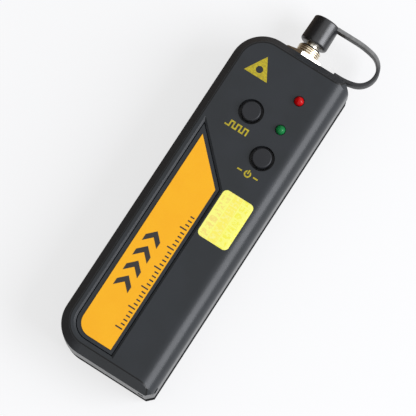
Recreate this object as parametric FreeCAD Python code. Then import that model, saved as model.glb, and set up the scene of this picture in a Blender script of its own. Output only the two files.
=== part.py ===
"""Handheld visual fault locator for optical fibre, as an assembly of separate solids.

Frame: millimetres, X across the body, Y along it with the fibre connector at +Y, +Z out of the
front face. The tester lies on its back, and the origin is the centre of the flat back face.
Each sub-part is one function, and main() writes one STEP file per sub-part.
"""
import FreeCAD
import Part
import math
import os

Vector = FreeCAD.Vector

# ---------------------------------------------------------------- shell
WALL = 2.0                      # thickness of both shells
PARTING_Z = 10.0                # height of the joint between the shells, and of the connector axis
CORNER_RADIUS = 11.0            # the two left corners
CORNER_CHAMFER = 2.4            # lower right corner
TOP_CHAMFER = 3.2               # upper right corner
BEVEL_WIDTH = 2.6               # sloping band round the front face, seen from above
BEVEL_DROP = 3.5                # height of that band
SIDE_FILLET = 6.0               # long rounded edge on the right
SIDE_INSET = 0.35               # the right side is this much nearer the middle than the left one
BACK_FILLET = 2.0               # rounded edge round the back face
BACK_DRAFT = 0.1                # the back shell's walls lean in by this much at the back
SEAM_GAP = 0.35                 # open joint line between the shells
SEAM_INSET = 0.3                # of the back shell inside the front shell's outline
SEAM_SIDE_INSET = 0.1           # the same on the right side
LIP_THICKNESS = 0.9             # tongue of the back shell inside the front shell
LIP_HEIGHT = 1.5
LIP_CLEARANCE = 0.15

# ---------------------------------------------------------------- cells and their bay
CELL_DIAMETER = 14.5
CELL_LENGTH = 50.5              # over the nub
NUB_DIAMETER = 5.5
NUB_LENGTH = 1.3
CELL_GAP = 0.5                  # between the two cells
CELL_SIDE_CLEARANCE = 0.55      # between a cell and the side of the bay
CELL_FLOOR_CLEARANCE = 0.35     # between a cell and the battery door
CELL_ROOF_CLEARANCE = 0.2
SPRING_DEPTH = 3.2              # of a contact tongue pressed by a cell
CONTACT_THICKNESS = 0.4
CONTACT_WIDTH = 9.0
TONGUE_WIDTH = 5.0
TAB_WIDTH = 3.0
TAB_CLEARANCE = 0.15
TAB_LENGTH = 1.5                # of a solder tab past the bay's end wall
BAY_WALL = 1.0
BAY_END_WALL = 1.2
BAY_CHAMFER = 4.0               # on the two long edges of the bay's roof
BAY_SIDE_GAP = 1.1              # between the bay and the side walls of the case
BAY_END_GAP = 5.8               # between the bay and the bottom end wall
ROOF_GAP = 1.95                 # between the bay's roof and the front wall

# ---------------------------------------------------------------- battery door
DOOR_CLEARANCE = 0.15           # all round the door
DOOR_SIDE_LAND = 0.2            # of bay side wall beyond the door's edge
BAY_LIP = 4.35                  # of back wall left over the upper end of the bay
DOOR_WALL_HEIGHT = 7.0          # of the door's part of the end wall
TONGUE_REACH = 0.85
TONGUE_THICKNESS = 0.6
TONGUE_HEIGHT = 0.8             # of the tongue's underside above the back face
TONGUE_CLEARANCE = 0.1
GRIP_COUNT = 5
GRIP_PITCH = 1.8
GRIP_WIDTH = 0.8
GRIP_DEPTH = 0.4
GRIP_LENGTH = 14.0
GRIP_FROM_END = 7.0

# ---------------------------------------------------------------- controls on the front face
CONTROL_PITCH = 11.1            # square grid of LEDs and buttons
LED_FROM_EDGE = 11.95           # LED column from the right side
RED_LED_FROM_TOP = 14.3
LED_DIAMETER = 3.1
LED_FLANGE_DIAMETER = 3.8
LED_FLANGE_THICKNESS = 1.0
LED_HOLE_CLEARANCE = 0.2
LED_PROUD = 1.5                 # of the dome above the front face
LED_FLANGE_DEPTH = 2.7          # underside of the flange below the front face's inner side
LEAD_DIAMETER = 0.5
LEAD_SPACING = 2.54
LEAD_HOLE_CLEARANCE = 0.15
LEAD_TAIL = 1.0                 # past the far side of the board
BUTTON_DIAMETER = 6.4
BUTTON_CLEARANCE = 0.95
BUTTON_PROUD = 1.3
BUTTON_ROUND = 0.45
BUTTON_FLANGE_DIAMETER = 9.9
BUTTON_FLANGE_THICKNESS = 0.9
BUTTON_FLANGE_CLEARANCE = 0.1   # under the front wall
SWITCH_WIDTH = 6.0
SWITCH_HEIGHT = 3.5
PLUNGER_DIAMETER = 3.4
PLUNGER_CLEARANCE = 0.1
PLUNGER_PROUD = 0.5
PLUNGER_DEPTH = 0.8             # of the plunger inside the switch
PRESS_TRAVEL = 0.3
PRESS_ROOM = 0.2                # left under the plunger at full travel

# ---------------------------------------------------------------- label, print and sticker
LABEL_WIDTH = 13.2
LABEL_LENGTH = 74.1
LABEL_SLANT = 13.2              # fall of the label's sloping top edge
LABEL_RADIUS = 4.8
LABEL_FROM_SIDE = 6.65
LABEL_FROM_END = 6.05
LABEL_BORDER = 1.38             # from the label to the middle of the groove round it
LABEL_SHIFT = 0.22              # the groove sits this much farther to the left
LABEL_THICKNESS = 0.25
FLANK_WIDTH = 0.85              # of the shallow slope that leads down to the sharp line
FLANK_DEPTH = 0.31
LINE_WIDTH = 0.5                # of the sharp V groove
LINE_DEPTH = 0.75
RECESS_DEPTH = 0.2              # of the field inside the groove
INK_THICKNESS = 0.05
CHEVRON_COUNT = 4
CHEVRON_PITCH = 5.6
CHEVRON_HEIGHT = 5.4
CHEVRON_STROKE = 2.3
CHEVRON_POINT = 2.7
CHEVRON_FROM_END = 18.0         # first chevron from the label's bottom edge
CHEVRON_FROM_SIDE = 2.4
SCALE_COUNT = 29
SCALE_PITCH = 1.5
SCALE_STROKE = 0.45
SCALE_SHORT = 1.4
SCALE_LONG = 2.5
SCALE_FROM_END = 7.2
SCALE_FROM_SIDE = 0.5
STICKER_WIDTH = 11.2
STICKER_LENGTH = 17.2
STICKER_RADIUS = 1.6
STICKER_THICKNESS = 0.1
STICKER_GAP = 1.07              # from the label recess
STICKER_BELOW_POWER = 14.4      # top edge below the power button's centre
TRIANGLE_SIDE = 8.6
TRIANGLE_FROM_TOP = 14.8
TRIANGLE_FROM_SIDE = 10.6
TRIANGLE_DOT = 2.4
SYMBOL_DROP = 6.7               # symbol's centre below its button's centre
SYMBOL_SHIFT = 1.15             # and to the left of it
SYMBOL_STROKE = 0.5
SYMBOL_HEIGHT = 2.4
PULSE_COUNT = 3
PULSE_WIDTH = 1.25
POWER_BAR_LENGTH = 1.7
POWER_BAR_GAP = 0.9

# ---------------------------------------------------------------- circuit board
BOARD_LENGTH = 37.1
BOARD_THICKNESS = 1.6
BOARD_SIDE_GAP = 0.9            # to the inside of the case
BOARD_FROM_TOP = 9.7            # top edge of the board to the inside of the end wall
BOARD_BOSS_GAP = 0.4            # to the middle case bosses
NOTCH_SIDE_CLEARANCE = 0.5      # round the laser holder
NOTCH_END_CLEARANCE = 1.3
POST_DIAMETER = 4.0
POST_FROM_SIDE = 3.6            # board posts from the inside of the case
POST_FROM_TOP = 3.5             # upper posts from the board's top edge
POST_FROM_BOTTOM = 2.9          # lower posts from the board's bottom edge
BOARD_SCREW_DIAMETER = 2.0
BOARD_SCREW_LENGTH = 5.0
BOARD_SCREW_HEAD = 3.6
BOARD_SCREW_HEAD_HEIGHT = 1.3
THREAD_CLEARANCE = 0.03
BOARD_HOLE_CLEARANCE = 0.15
CHIP_LENGTH = 4.9
CHIP_WIDTH = 3.9
CHIP_HEIGHT = 1.5
CHIP_PINS = 4                   # on each side
CHIP_PIN_PITCH = 1.27
CHIP_PIN_WIDTH = 0.4
CHIP_PIN_REACH = 1.05
TRIMMER_WIDTH = 3.8
TRIMMER_HEIGHT = 2.2
TRIMMER_SCREW_DIAMETER = 2.2
TRIMMER_SLOT = 0.5
CAPACITOR_DIAMETER = 5.0
CAPACITOR_HEIGHT = 5.2
CAPACITOR_BASE = 0.8
CAPACITOR_FROM_END = 4.5        # from the board's bottom edge
RESISTOR_LENGTH = 2.0
RESISTOR_WIDTH = 1.25
RESISTOR_HEIGHT = 0.55
RESISTOR_PITCH = 2.4
RESISTOR_COUNT = 8

# ---------------------------------------------------------------- case screws
SCREW_DIAMETER = 2.2
SCREW_LENGTH = 9.0
SCREW_HEAD_DIAMETER = 4.0
SCREW_HEAD_HEIGHT = 1.5
SCREW_HEAD_CLEARANCE = 0.2
SCREW_RECESS = 2.6              # depth of the counterbore in the back face
SCREW_HOLE_CLEARANCE = 0.2
BACK_BOSS_DIAMETER = 5.6
FRONT_BOSS_DIAMETER = 5.2
BOSS_SEAT_Z = 8.0               # where front and back bosses meet
BOSS_FROM_SIDE = 3.1            # middle bosses from the inside of the case
BOSS_FROM_BAY = 0.5
TOP_BOSS_FROM_SIDE = 4.8
TOP_BOSS_FROM_END = 5.4

# ---------------------------------------------------------------- connector and laser
BARREL_DIAMETER = 8.0           # M8 x 0.75 thread, left plain here
BARREL_CLEARANCE = 0.15         # in the end wall
BARREL_LENGTH = 5.3             # proud of the end wall
BARREL_CHAMFER = 0.7
NECK_DIAMETER = 4.6
NECK_LENGTH = 6.9
SHOULDER_DIAMETER = 11.5
SHOULDER_THICKNESS = 1.6
REAR_SHANK_DIAMETER = 7.0
REAR_SHANK_LENGTH = 5.0
NUT_FLATS = 13.0
NUT_THICKNESS = 1.5
NUT_TURN = 37.0                 # degrees
NUT_CHAMFER = 0.3
WASHER_THICKNESS = 0.5
WASHER_DIAMETER = 11.0
RING_CLEARANCE = 0.05           # radial, nut and washer on the barrel
FERRULE_DIAMETER = 2.5
FERRULE_CLEARANCE = 0.006       # radial, ferrule in the sleeve
SLEEVE_DIAMETER = 3.2
SLEEVE_LENGTH = 11.4
SLEEVE_CLEARANCE = 0.02
LIGHT_HOLE_DIAMETER = 2.2       # narrower than the ferrule, which stops on its ledge
HOLDER_DIAMETER = 9.4
HOLDER_CLEARANCE = 0.03         # radial, parts inside the holder
LENS_DIAMETER = 6.2
LENS_THICKNESS = 2.0
LENS_BULGE = 0.7
LENS_SEAT_DIAMETER = 4.4
RETAINER_THICKNESS = 1.4
RETAINER_BORE = 4.0
DIODE_GAP = 2.6                 # diode flange to lens
DIODE_FLANGE_DIAMETER = 5.6
DIODE_FLANGE_THICKNESS = 1.2
DIODE_CAP_DIAMETER = 3.6
DIODE_CAP_HEIGHT = 2.0
DIODE_PIN_DIAMETER = 0.45
DIODE_PIN_SPACING = 2.0
DIODE_PIN_LENGTH = 4.0
HOLDER_SKIRT = 2.3              # of the holder behind the diode

# ---------------------------------------------------------------- dust cap and tether
CAP_DIAMETER = 9.6              # at the mouth
CAP_TIP_DIAMETER = 9.2
CAP_LENGTH = 9.3
CAP_GAP = 1.0                   # mouth above the end of the thread
CAP_MOUTH_ROUND = 1.1
CAP_TIP_ROUND = 0.6
CAP_BORE_CLEARANCE = 0.05
CAP_BORE_ROOM = 0.5             # past the end of the neck
TETHER_THICKNESS = 1.3
TETHER_WIDTH = 4.1
TETHER_FROM_TIP = 0.6           # middle of the band below the cap's tip
TETHER_RUN = 6.8                # length of the straight run away from the cap
BEND_RADIUS = 28.0              # gentle bend after that run
TETHER_SLOPE = 14.0             # degrees, at the end of the gentle bend
LOOP_RADIUS = 6.15
LOOP_TURN = 150.0               # degrees of the tight part of the loop
TAIL_END_X = 10.9               # where the thick tail steps down to the thin pad
PAD_THICKNESS = 0.95
PAD_OVERLAP = 0.05              # of the tail's underside in the pad
PAD_ROOT = 1.5                  # of the pad under the tail
PAD_END_X = 7.4
STUD_X = 9.2
STUD_DIAMETER = 2.4
STUD_CLEARANCE = 0.1
STUD_HEAD_DIAMETER = 4.2
STUD_HEAD_LENGTH = 1.2
STUD_SLACK = 0.2

# ---------------------------------------------------------------- lanyard passage
LANYARD_WIDTH = 1.9
LANYARD_HEIGHT = 2.4
LANYARD_ABOVE_SEAM = 2.8        # slot in the end wall
LANYARD_RISE = 2.1              # of the slot in the side wall above the other
LANYARD_FROM_SIDE = 3.2         # end-wall slot's outer edge from the right side
LANYARD_FROM_END = 2.5          # side-wall slot's lower edge from the bottom end
LANYARD_POCKET_WALL = 1.0

# ---------------------------------------------------------------- wires
LASER_WIRE_DIAMETER = 0.6
LASER_WIRE_SPACING = 2.0
BATTERY_WIRE_DIAMETER = 0.9
WIRE_RUN = 3.4                  # level run of a wire before it climbs to the board
WIRE_CLIMB_RUN = 2.2
WIRE_STUB = 1.9                 # last, upright run

# ---------------------------------------------------------------- sizes that follow from the above
BAY_WIDTH = 2 * CELL_DIAMETER + CELL_GAP + 2 * CELL_SIDE_CLEARANCE
BODY_WIDTH = BAY_WIDTH + 2 * (BAY_WALL + BAY_SIDE_GAP + WALL)
CELL_Z = WALL + CELL_FLOOR_CLEARANCE + CELL_DIAMETER / 2
BAY_ROOF_Z = CELL_Z + CELL_DIAMETER / 2 + CELL_ROOF_CLEARANCE
BODY_DEPTH = BAY_ROOF_Z + BAY_WALL + ROOF_GAP + WALL
BAY_LENGTH = CELL_LENGTH + SPRING_DEPTH + 2 * CONTACT_THICKNESS
BOSS_ZONE = BOSS_FROM_BAY + BACK_BOSS_DIAMETER + BOARD_BOSS_GAP
BODY_LENGTH = (2 * WALL + BAY_END_GAP + 2 * BAY_END_WALL + BAY_LENGTH + BOSS_ZONE
               + BOARD_LENGTH + BOARD_FROM_TOP)
TOP_Y = BODY_LENGTH / 2
BOTTOM_Y = -BODY_LENGTH / 2
RIGHT_X = BODY_WIDTH / 2
LEFT_X = -BODY_WIDTH / 2
INNER_FRONT_Z = BODY_DEPTH - WALL
FAR = 2 * BODY_LENGTH           # longer than anything that it cuts
BAY_START_Y = BOTTOM_Y + WALL + BAY_END_GAP + BAY_END_WALL
BAY_END_Y = BAY_START_Y + BAY_LENGTH
CELL_X = (CELL_DIAMETER + CELL_GAP) / 2
DOOR_HALF_WIDTH = BAY_WIDTH / 2 - DOOR_SIDE_LAND
DOOR_END_Y = BAY_END_Y - BAY_LIP - DOOR_CLEARANCE
AXIS_Z = PARTING_Z
LED_X = RIGHT_X - LED_FROM_EDGE
RED_LED_Y = TOP_Y - RED_LED_FROM_TOP
GREEN_LED_Y = RED_LED_Y - CONTROL_PITCH
POWER_CENTRE = (LED_X, GREEN_LED_Y - CONTROL_PITCH)
MOD_CENTRE = (LED_X - CONTROL_PITCH, GREEN_LED_Y)
FLANGE_TOP_Z = INNER_FRONT_Z - BUTTON_FLANGE_CLEARANCE
PLUNGER_TOP_Z = FLANGE_TOP_Z - BUTTON_FLANGE_THICKNESS
SWITCH_TOP_Z = PLUNGER_TOP_Z - PLUNGER_PROUD
BOARD_TOP_Z = SWITCH_TOP_Z - SWITCH_HEIGHT
BOARD_BACK_Z = BOARD_TOP_Z - BOARD_THICKNESS
BOARD_TOP_Y = TOP_Y - WALL - BOARD_FROM_TOP
BOARD_BOTTOM_Y = BOARD_TOP_Y - BOARD_LENGTH
BOARD_HALF_WIDTH = RIGHT_X - WALL - BOARD_SIDE_GAP
LABEL_LEFT = LEFT_X + LABEL_FROM_SIDE
LABEL_BOTTOM = BOTTOM_Y + LABEL_FROM_END
LABEL_Z = BODY_DEPTH - RECESS_DEPTH
LABEL_TOP_Z = LABEL_Z + LABEL_THICKNESS
BARREL_END_Y = TOP_Y + BARREL_LENGTH
NECK_END_Y = BARREL_END_Y + NECK_LENGTH
SHOULDER_FRONT_Y = TOP_Y - WALL - WASHER_THICKNESS
SHOULDER_BACK_Y = SHOULDER_FRONT_Y - SHOULDER_THICKNESS
SHANK_BACK_Y = SHOULDER_BACK_Y - REAR_SHANK_LENGTH
SLEEVE_START_Y = NECK_END_Y - SLEEVE_LENGTH
LENS_FRONT_Y = SHANK_BACK_Y - RETAINER_THICKNESS
LENS_BACK_Y = LENS_FRONT_Y - LENS_THICKNESS
DIODE_FRONT_Y = LENS_BACK_Y - DIODE_GAP
DIODE_BACK_Y = DIODE_FRONT_Y - DIODE_FLANGE_THICKNESS
HOLDER_BACK_Y = DIODE_BACK_Y - HOLDER_SKIRT
CAP_MOUTH_Y = BARREL_END_Y + CAP_GAP
CAP_TIP_Y = CAP_MOUTH_Y + CAP_LENGTH


# ================================================================ helpers
def box(x0, x1, y0, y1, z0, z1):
    """Box between two corners."""
    return Part.makeBox(x1 - x0, y1 - y0, z1 - z0, Vector(x0, y0, z0))


def cylinder_z(radius, x, y, z0, z1):
    """Upright cylinder."""
    return Part.makeCylinder(radius, z1 - z0, Vector(x, y, z0), Vector(0, 0, 1))


def cylinder_y(radius, y0, y1, x=0.0, z=AXIS_Z):
    """Cylinder along Y, on the connector axis unless told otherwise."""
    return Part.makeCylinder(radius, y1 - y0, Vector(x, y0, z), Vector(0, 1, 0))


def prism(points, z0, z1):
    """Upright prism over a closed polygon of (x, y) points."""
    corners = [Vector(x, y, z0) for x, y in points]
    face = Part.Face(Part.makePolygon(corners + corners[:1]))
    return face.extrude(Vector(0, 0, z1 - z0))


def fused(shapes):
    """One shape from several that touch or overlap."""
    whole = shapes[0]
    for shape in shapes[1:]:
        whole = whole.fuse(shape)
    return whole.removeSplitter()


def arc(centre, radius, start, end, z):
    """Edge of an arc about centre between two angles in degrees, either way round."""
    angles = [math.radians(a) for a in (start, (start + end) / 2, end)]
    points = [Vector(centre[0] + radius * math.cos(a), centre[1] + radius * math.sin(a), z)
              for a in angles]
    return Part.Arc(*points).toShape()


def line(start, end, z):
    """Straight edge at one height."""
    return Part.LineSegment(Vector(start[0], start[1], z), Vector(end[0], end[1], z)).toShape()


def rounded_rectangle(x0, x1, y0, y1, radius, z0, z1):
    """Upright prism over a rectangle with round corners."""
    solid = box(x0, x1, y0, y1, z0, z1)
    upright = [e for e in solid.Edges if abs(e.Vertexes[0].Z - e.Vertexes[1].Z) > 1e-6]
    return solid.makeFillet(radius, upright)


def body_outline(edge, right, z):
    """Outline of the case, moved inwards by edge (left, ends, corners) and right (right side)."""
    right += SIDE_INSET
    left, side = LEFT_X + edge, RIGHT_X - right
    bottom, top = BOTTOM_Y + edge, TOP_Y - edge
    radius = CORNER_RADIUS - edge
    low_x = RIGHT_X - CORNER_CHAMFER - edge * (math.sqrt(2) - 1)
    low_y = BOTTOM_Y + CORNER_CHAMFER + edge * math.sqrt(2) - right
    high_x = RIGHT_X - TOP_CHAMFER - edge * (math.sqrt(2) - 1)
    high_y = TOP_Y - TOP_CHAMFER - edge * math.sqrt(2) + right
    return Part.Wire([
        line((left + radius, bottom), (low_x, bottom), z),
        line((low_x, bottom), (side, low_y), z),
        line((side, low_y), (side, high_y), z),
        line((side, high_y), (high_x, top), z),
        line((high_x, top), (left + radius, top), z),
        arc((left + radius, top - radius), radius, 90, 180, z),
        line((left, top - radius), (left, bottom + radius), z),
        arc((left + radius, bottom + radius), radius, 180, 270, z),
    ])


def body_solid(inset):
    """The case's outer form, or the same form with every face moved inwards by inset."""
    slope = math.atan2(BEVEL_DROP, BEVEL_WIDTH)
    rim_z = BODY_DEPTH - BEVEL_DROP - inset * math.tan((math.pi / 2 - slope) / 2)
    top_z = BODY_DEPTH - inset
    top_edge = BEVEL_WIDTH + inset * math.tan(slope / 2)
    base = Part.Face(body_outline(inset, inset, inset))
    walls = base.extrude(Vector(0, 0, rim_z - inset))
    rim = body_outline(inset, inset, rim_z)
    bevel = Part.makeLoft([rim, body_outline(top_edge, inset, top_z)], True, True)
    side = RIGHT_X - SIDE_INSET - inset
    radius = SIDE_FILLET - inset
    section = box(-FAR, side, -FAR, FAR, -FAR, top_z)
    corner = [e for e in section.Edges
              if all(abs(v.X - side) < 1e-6 and abs(v.Z - top_z) < 1e-6 for v in e.Vertexes)]
    return fused([walls, bevel]).common(section.makeFillet(radius, corner))


def front_block():
    """The front half of the case as a solid."""
    return body_solid(0.0).common(slab(PARTING_Z, FAR))


def back_block():
    """The back half of the case as a solid, a little smaller, with its back edge rounded."""
    block = Part.makeLoft([body_outline(SEAM_INSET + BACK_DRAFT, SEAM_SIDE_INSET + BACK_DRAFT, 0.0),
                           body_outline(SEAM_INSET, SEAM_SIDE_INSET, PARTING_Z - SEAM_GAP)],
                          True, True)
    back = [e for e in block.Edges if all(abs(v.Z) < 1e-6 for v in e.Vertexes)]
    return block.makeFillet(BACK_FILLET, back)


def slab(z0, z1):
    """Everything between two heights."""
    return box(-FAR, FAR, -FAR, FAR, z0, z1)


def label_outline(border, radius, z, shift=0.0):
    """Outline of the label, or one set out from it by border and moved to the left by shift."""
    left, right = LABEL_LEFT - border - shift, LABEL_LEFT + LABEL_WIDTH + border - shift
    bottom = LABEL_BOTTOM - border
    lean = LABEL_SLANT / LABEL_WIDTH
    rise = border * (math.sqrt(1 + lean * lean) + lean) + shift * lean
    apex = LABEL_BOTTOM + LABEL_LENGTH + rise
    shoulder = apex - lean * (right - left)
    centre = (left + radius, bottom + radius)
    return Part.Wire([
        arc(centre, radius, 180, 270, z),
        line((left + radius, bottom), (right, bottom), z),
        line((right, bottom), (right, shoulder), z),
        line((right, shoulder), (left, apex), z),
        line((left, apex), (left, bottom + radius), z),
    ])


def label_field():
    """What is cut from the front face round the label: slope, sharp line and sunk field."""
    def frustum(spread, depth):
        grow = spread * (1 + RECESS_DEPTH / depth)
        rings = [label_outline(LABEL_BORDER + g, LABEL_RADIUS + LABEL_BORDER + g, z, LABEL_SHIFT)
                 for g, z in ((0.0, BODY_DEPTH - depth), (grow, BODY_DEPTH + RECESS_DEPTH))]
        return Part.makeLoft(rings, True, True)

    grooves = []
    for spread, depth in ((FLANK_WIDTH, FLANK_DEPTH), (LINE_WIDTH / 2, LINE_DEPTH)):
        island = frustum(-LINE_WIDTH / 2, depth).common(slab(0.0, BODY_DEPTH - RECESS_DEPTH))
        grooves.append(frustum(spread, depth).cut(island))
    return grooves


def boss_places():
    """Centres of the four case bosses."""
    middle_x = RIGHT_X - WALL - BOSS_FROM_SIDE
    middle_y = BAY_END_Y + BAY_END_WALL + BOSS_FROM_BAY + BACK_BOSS_DIAMETER / 2
    upper_x = RIGHT_X - WALL - TOP_BOSS_FROM_SIDE
    upper_y = TOP_Y - WALL - TOP_BOSS_FROM_END
    return [(side * x, y) for x, y in ((middle_x, middle_y), (upper_x, upper_y))
            for side in (-1, 1)]


def post_places():
    """Centres of the four posts that carry the board."""
    x = RIGHT_X - WALL - POST_FROM_SIDE
    return [(side * x, y) for y in (BOARD_BOTTOM_Y + POST_FROM_BOTTOM, BOARD_TOP_Y - POST_FROM_TOP)
            for side in (-1, 1)]


def lead_places():
    """Centres of the LEDs' four leads."""
    return [(LED_X + side * LEAD_SPACING / 2, y) for y in (RED_LED_Y, GREEN_LED_Y)
            for side in (-1, 1)]


def end_wall_holes():
    """Connector hole and tether stud hole, both shared by the two shells."""
    barrel = cylinder_y(BARREL_DIAMETER / 2 + BARREL_CLEARANCE, TOP_Y - 2 * WALL, TOP_Y + WALL)
    stud = cylinder_y(STUD_DIAMETER / 2 + STUD_CLEARANCE, TOP_Y - 2 * WALL, TOP_Y + WALL, STUD_X)
    return barrel.fuse(stud)


def lanyard_passage():
    """Passage for a lanyard round the lower right corner, as (passage, pocket block)."""
    z0 = PARTING_Z + LANYARD_ABOVE_SEAM
    z1 = z0 + LANYARD_HEIGHT
    z2 = z0 + LANYARD_RISE
    z3 = z1 + LANYARD_RISE
    x1 = RIGHT_X - LANYARD_FROM_SIDE
    x0 = x1 - LANYARD_WIDTH
    y0 = BOTTOM_Y + LANYARD_FROM_END
    y1 = y0 + LANYARD_WIDTH
    passage = box(x0, x1, BOTTOM_Y - WALL, y1, z0, z1)
    passage = passage.fuse(box(x0, RIGHT_X + WALL, y0, y1, z2, z3))
    passage = passage.fuse(box(x0, x1, y0, y1, z0, z3))
    skin = LANYARD_POCKET_WALL
    pocket = box(x0 - skin, RIGHT_X, BOTTOM_Y, y1 + skin, z0 - skin, INNER_FRONT_Z)
    return passage, pocket


# ================================================================ case
def front_shell():
    """Front half of the case, with its openings, bosses, board posts and lanyard pocket."""
    shell = front_block().cut(body_solid(WALL))
    rebate = body_solid(WALL - LIP_THICKNESS - LIP_CLEARANCE)
    rebate = rebate.common(slab(0.0, PARTING_Z + LIP_HEIGHT + LIP_CLEARANCE))
    shell = shell.cut(rebate)
    inside = body_solid(WALL / 2).common(slab(BOSS_SEAT_Z, INNER_FRONT_Z + WALL / 2))
    additions = [cylinder_z(FRONT_BOSS_DIAMETER / 2, x, y, BOSS_SEAT_Z, BODY_DEPTH)
                 for x, y in boss_places()]
    additions += [cylinder_z(POST_DIAMETER / 2, x, y, BOARD_TOP_Z, BODY_DEPTH)
                  for x, y in post_places()]
    passage, pocket = lanyard_passage()
    for addition in additions + [pocket]:
        shell = shell.fuse(addition.common(inside))
    shell = shell.removeSplitter()
    cuts = [passage, end_wall_holes()]
    cuts += [cylinder_z(SCREW_DIAMETER / 2 + THREAD_CLEARANCE, x, y, 0.0,
                        SCREW_RECESS + SCREW_LENGTH + THREAD_CLEARANCE)
             for x, y in boss_places()]
    cuts += [cylinder_z(BOARD_SCREW_DIAMETER / 2 + THREAD_CLEARANCE, x, y, 0.0,
                        BOARD_BACK_Z + BOARD_SCREW_LENGTH + THREAD_CLEARANCE)
             for x, y in post_places()]
    cuts += [cylinder_z(BUTTON_DIAMETER / 2 + BUTTON_CLEARANCE, x, y, PARTING_Z, FAR)
             for x, y in (MOD_CENTRE, POWER_CENTRE)]
    cuts += [cylinder_z(LED_DIAMETER / 2 + LED_HOLE_CLEARANCE, LED_X, y, PARTING_Z, FAR)
             for y in (RED_LED_Y, GREEN_LED_Y)]
    cuts += label_field()
    for tool in cuts:
        shell = shell.cut(tool)
    return shell


def battery_bay():
    """Box of the battery bay inside the back shell, as (outside, inside)."""
    def tunnel(skin, y0, y1, z0):
        half = BAY_WIDTH / 2 + skin
        roof = BAY_ROOF_Z + skin
        slope = BAY_CHAMFER + skin * (2 - math.sqrt(2))
        profile = [(-half, z0), (half, z0), (half, roof - slope), (half - slope, roof),
                   (-half + slope, roof), (-half, roof - slope)]
        corners = [Vector(x, y0, z) for x, z in profile]
        face = Part.Face(Part.makePolygon(corners + corners[:1]))
        return face.extrude(Vector(0, y1 - y0, 0))

    outside = tunnel(BAY_WALL, BAY_START_Y - BAY_END_WALL, BAY_END_Y + BAY_END_WALL, WALL / 2)
    inside = tunnel(0.0, BAY_START_Y, BAY_END_Y, WALL)
    return outside, inside


def door_opening():
    """What is cut from the back shell for the battery door and its tongues."""
    half = DOOR_HALF_WIDTH + DOOR_CLEARANCE
    end = DOOR_END_Y + DOOR_CLEARANCE
    reach = TONGUE_REACH + TONGUE_CLEARANCE
    low = TONGUE_HEIGHT - TONGUE_CLEARANCE
    high = TONGUE_HEIGHT + TONGUE_THICKNESS + TONGUE_CLEARANCE
    plate = box(-half, half, -FAR, end, -WALL, WALL)
    groove = box(-half - reach, half + reach, -FAR, end + reach, low, high)
    wall = box(-half, half, -FAR, BAY_START_Y - BAY_END_WALL - DOOR_CLEARANCE, WALL / 2,
               DOOR_WALL_HEIGHT + DOOR_CLEARANCE)
    return fused([plate, groove, wall])


def back_shell():
    """Back half of the case, with the battery bay, bosses and the lip of the joint."""
    shell = back_block().cut(body_solid(WALL))
    lip = body_solid(WALL - LIP_THICKNESS).cut(body_solid(WALL))
    lip = lip.common(slab(PARTING_Z - 2 * SEAM_GAP, PARTING_Z + LIP_HEIGHT))
    bay_outside, bay_inside = battery_bay()
    parts = [shell, lip, bay_outside]
    parts += [cylinder_z(BACK_BOSS_DIAMETER / 2, x, y, WALL / 2, BOSS_SEAT_Z)
              for x, y in boss_places()]
    shell = fused(parts)
    cuts = [bay_inside, door_opening(), end_wall_holes()]
    cuts += [cylinder_z(SCREW_HEAD_DIAMETER / 2 + SCREW_HEAD_CLEARANCE, x, y, -WALL, SCREW_RECESS)
             for x, y in boss_places()]
    cuts += [cylinder_z(SCREW_DIAMETER / 2 + SCREW_HOLE_CLEARANCE, x, y, 0.0, PARTING_Z)
             for x, y in boss_places()]
    tab_half = TAB_WIDTH / 2 + TAB_CLEARANCE
    tab_thick = CONTACT_THICKNESS / 2 + TAB_CLEARANCE
    cuts += [box(x - tab_half, x + tab_half, BAY_END_Y - BAY_END_WALL, BAY_END_Y + 2 * BAY_END_WALL,
                 CELL_Z - tab_thick, CELL_Z + tab_thick) for x in (-CELL_X, CELL_X)]
    for tool in cuts:
        shell = shell.cut(tool)
    return shell


def battery_door():
    """Sliding door over the cells, with its part of the end wall, tongues and thumb grooves."""
    block = back_block()
    half = DOOR_HALF_WIDTH
    plate = box(-half, half, -FAR, DOOR_END_Y, 0.0, WALL)
    tongue = box(-half - TONGUE_REACH, half + TONGUE_REACH, -FAR, DOOR_END_Y + TONGUE_REACH,
                 TONGUE_HEIGHT, TONGUE_HEIGHT + TONGUE_THICKNESS)
    wall = block.cut(body_solid(WALL))
    wall = wall.common(box(-half, half, -FAR, BAY_START_Y - BAY_END_WALL - 2 * DOOR_CLEARANCE,
                           0.0, DOOR_WALL_HEIGHT))
    door = fused([plate.common(block), tongue.common(block), wall])
    for index in range(GRIP_COUNT):
        y = BOTTOM_Y + GRIP_FROM_END + index * GRIP_PITCH
        door = door.cut(box(-GRIP_LENGTH / 2, GRIP_LENGTH / 2, y, y + GRIP_WIDTH,
                            -WALL, GRIP_DEPTH))
    return door


def screw(x, y, seat_z, diameter, length, head_diameter, head_height):
    """Pan-head screw that enters upwards, with a cross recess in its head."""
    shank = cylinder_z(diameter / 2, x, y, seat_z, seat_z + length)
    head = cylinder_z(head_diameter / 2, x, y, seat_z - head_height, seat_z)
    rim = [e for e in head.Edges if abs(e.BoundBox.ZMax - (seat_z - head_height)) < 1e-6]
    head = head.makeFillet(head_height / 3, rim)
    body = head.fuse(shank).removeSplitter()
    arm, slot = head_diameter / 3, head_diameter / 16
    bottom, depth = seat_z - 2 * head_height, seat_z - head_height / 2
    cross = box(x - arm, x + arm, y - slot, y + slot, bottom, depth)
    cross = cross.fuse(box(x - slot, x + slot, y - arm, y + arm, bottom, depth))
    return body.cut(cross)


def case_screws():
    """The four screws that hold the shells together."""
    return Part.makeCompound([
        screw(x, y, SCREW_RECESS, SCREW_DIAMETER, SCREW_LENGTH, SCREW_HEAD_DIAMETER,
              SCREW_HEAD_HEIGHT) for x, y in boss_places()])


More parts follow.
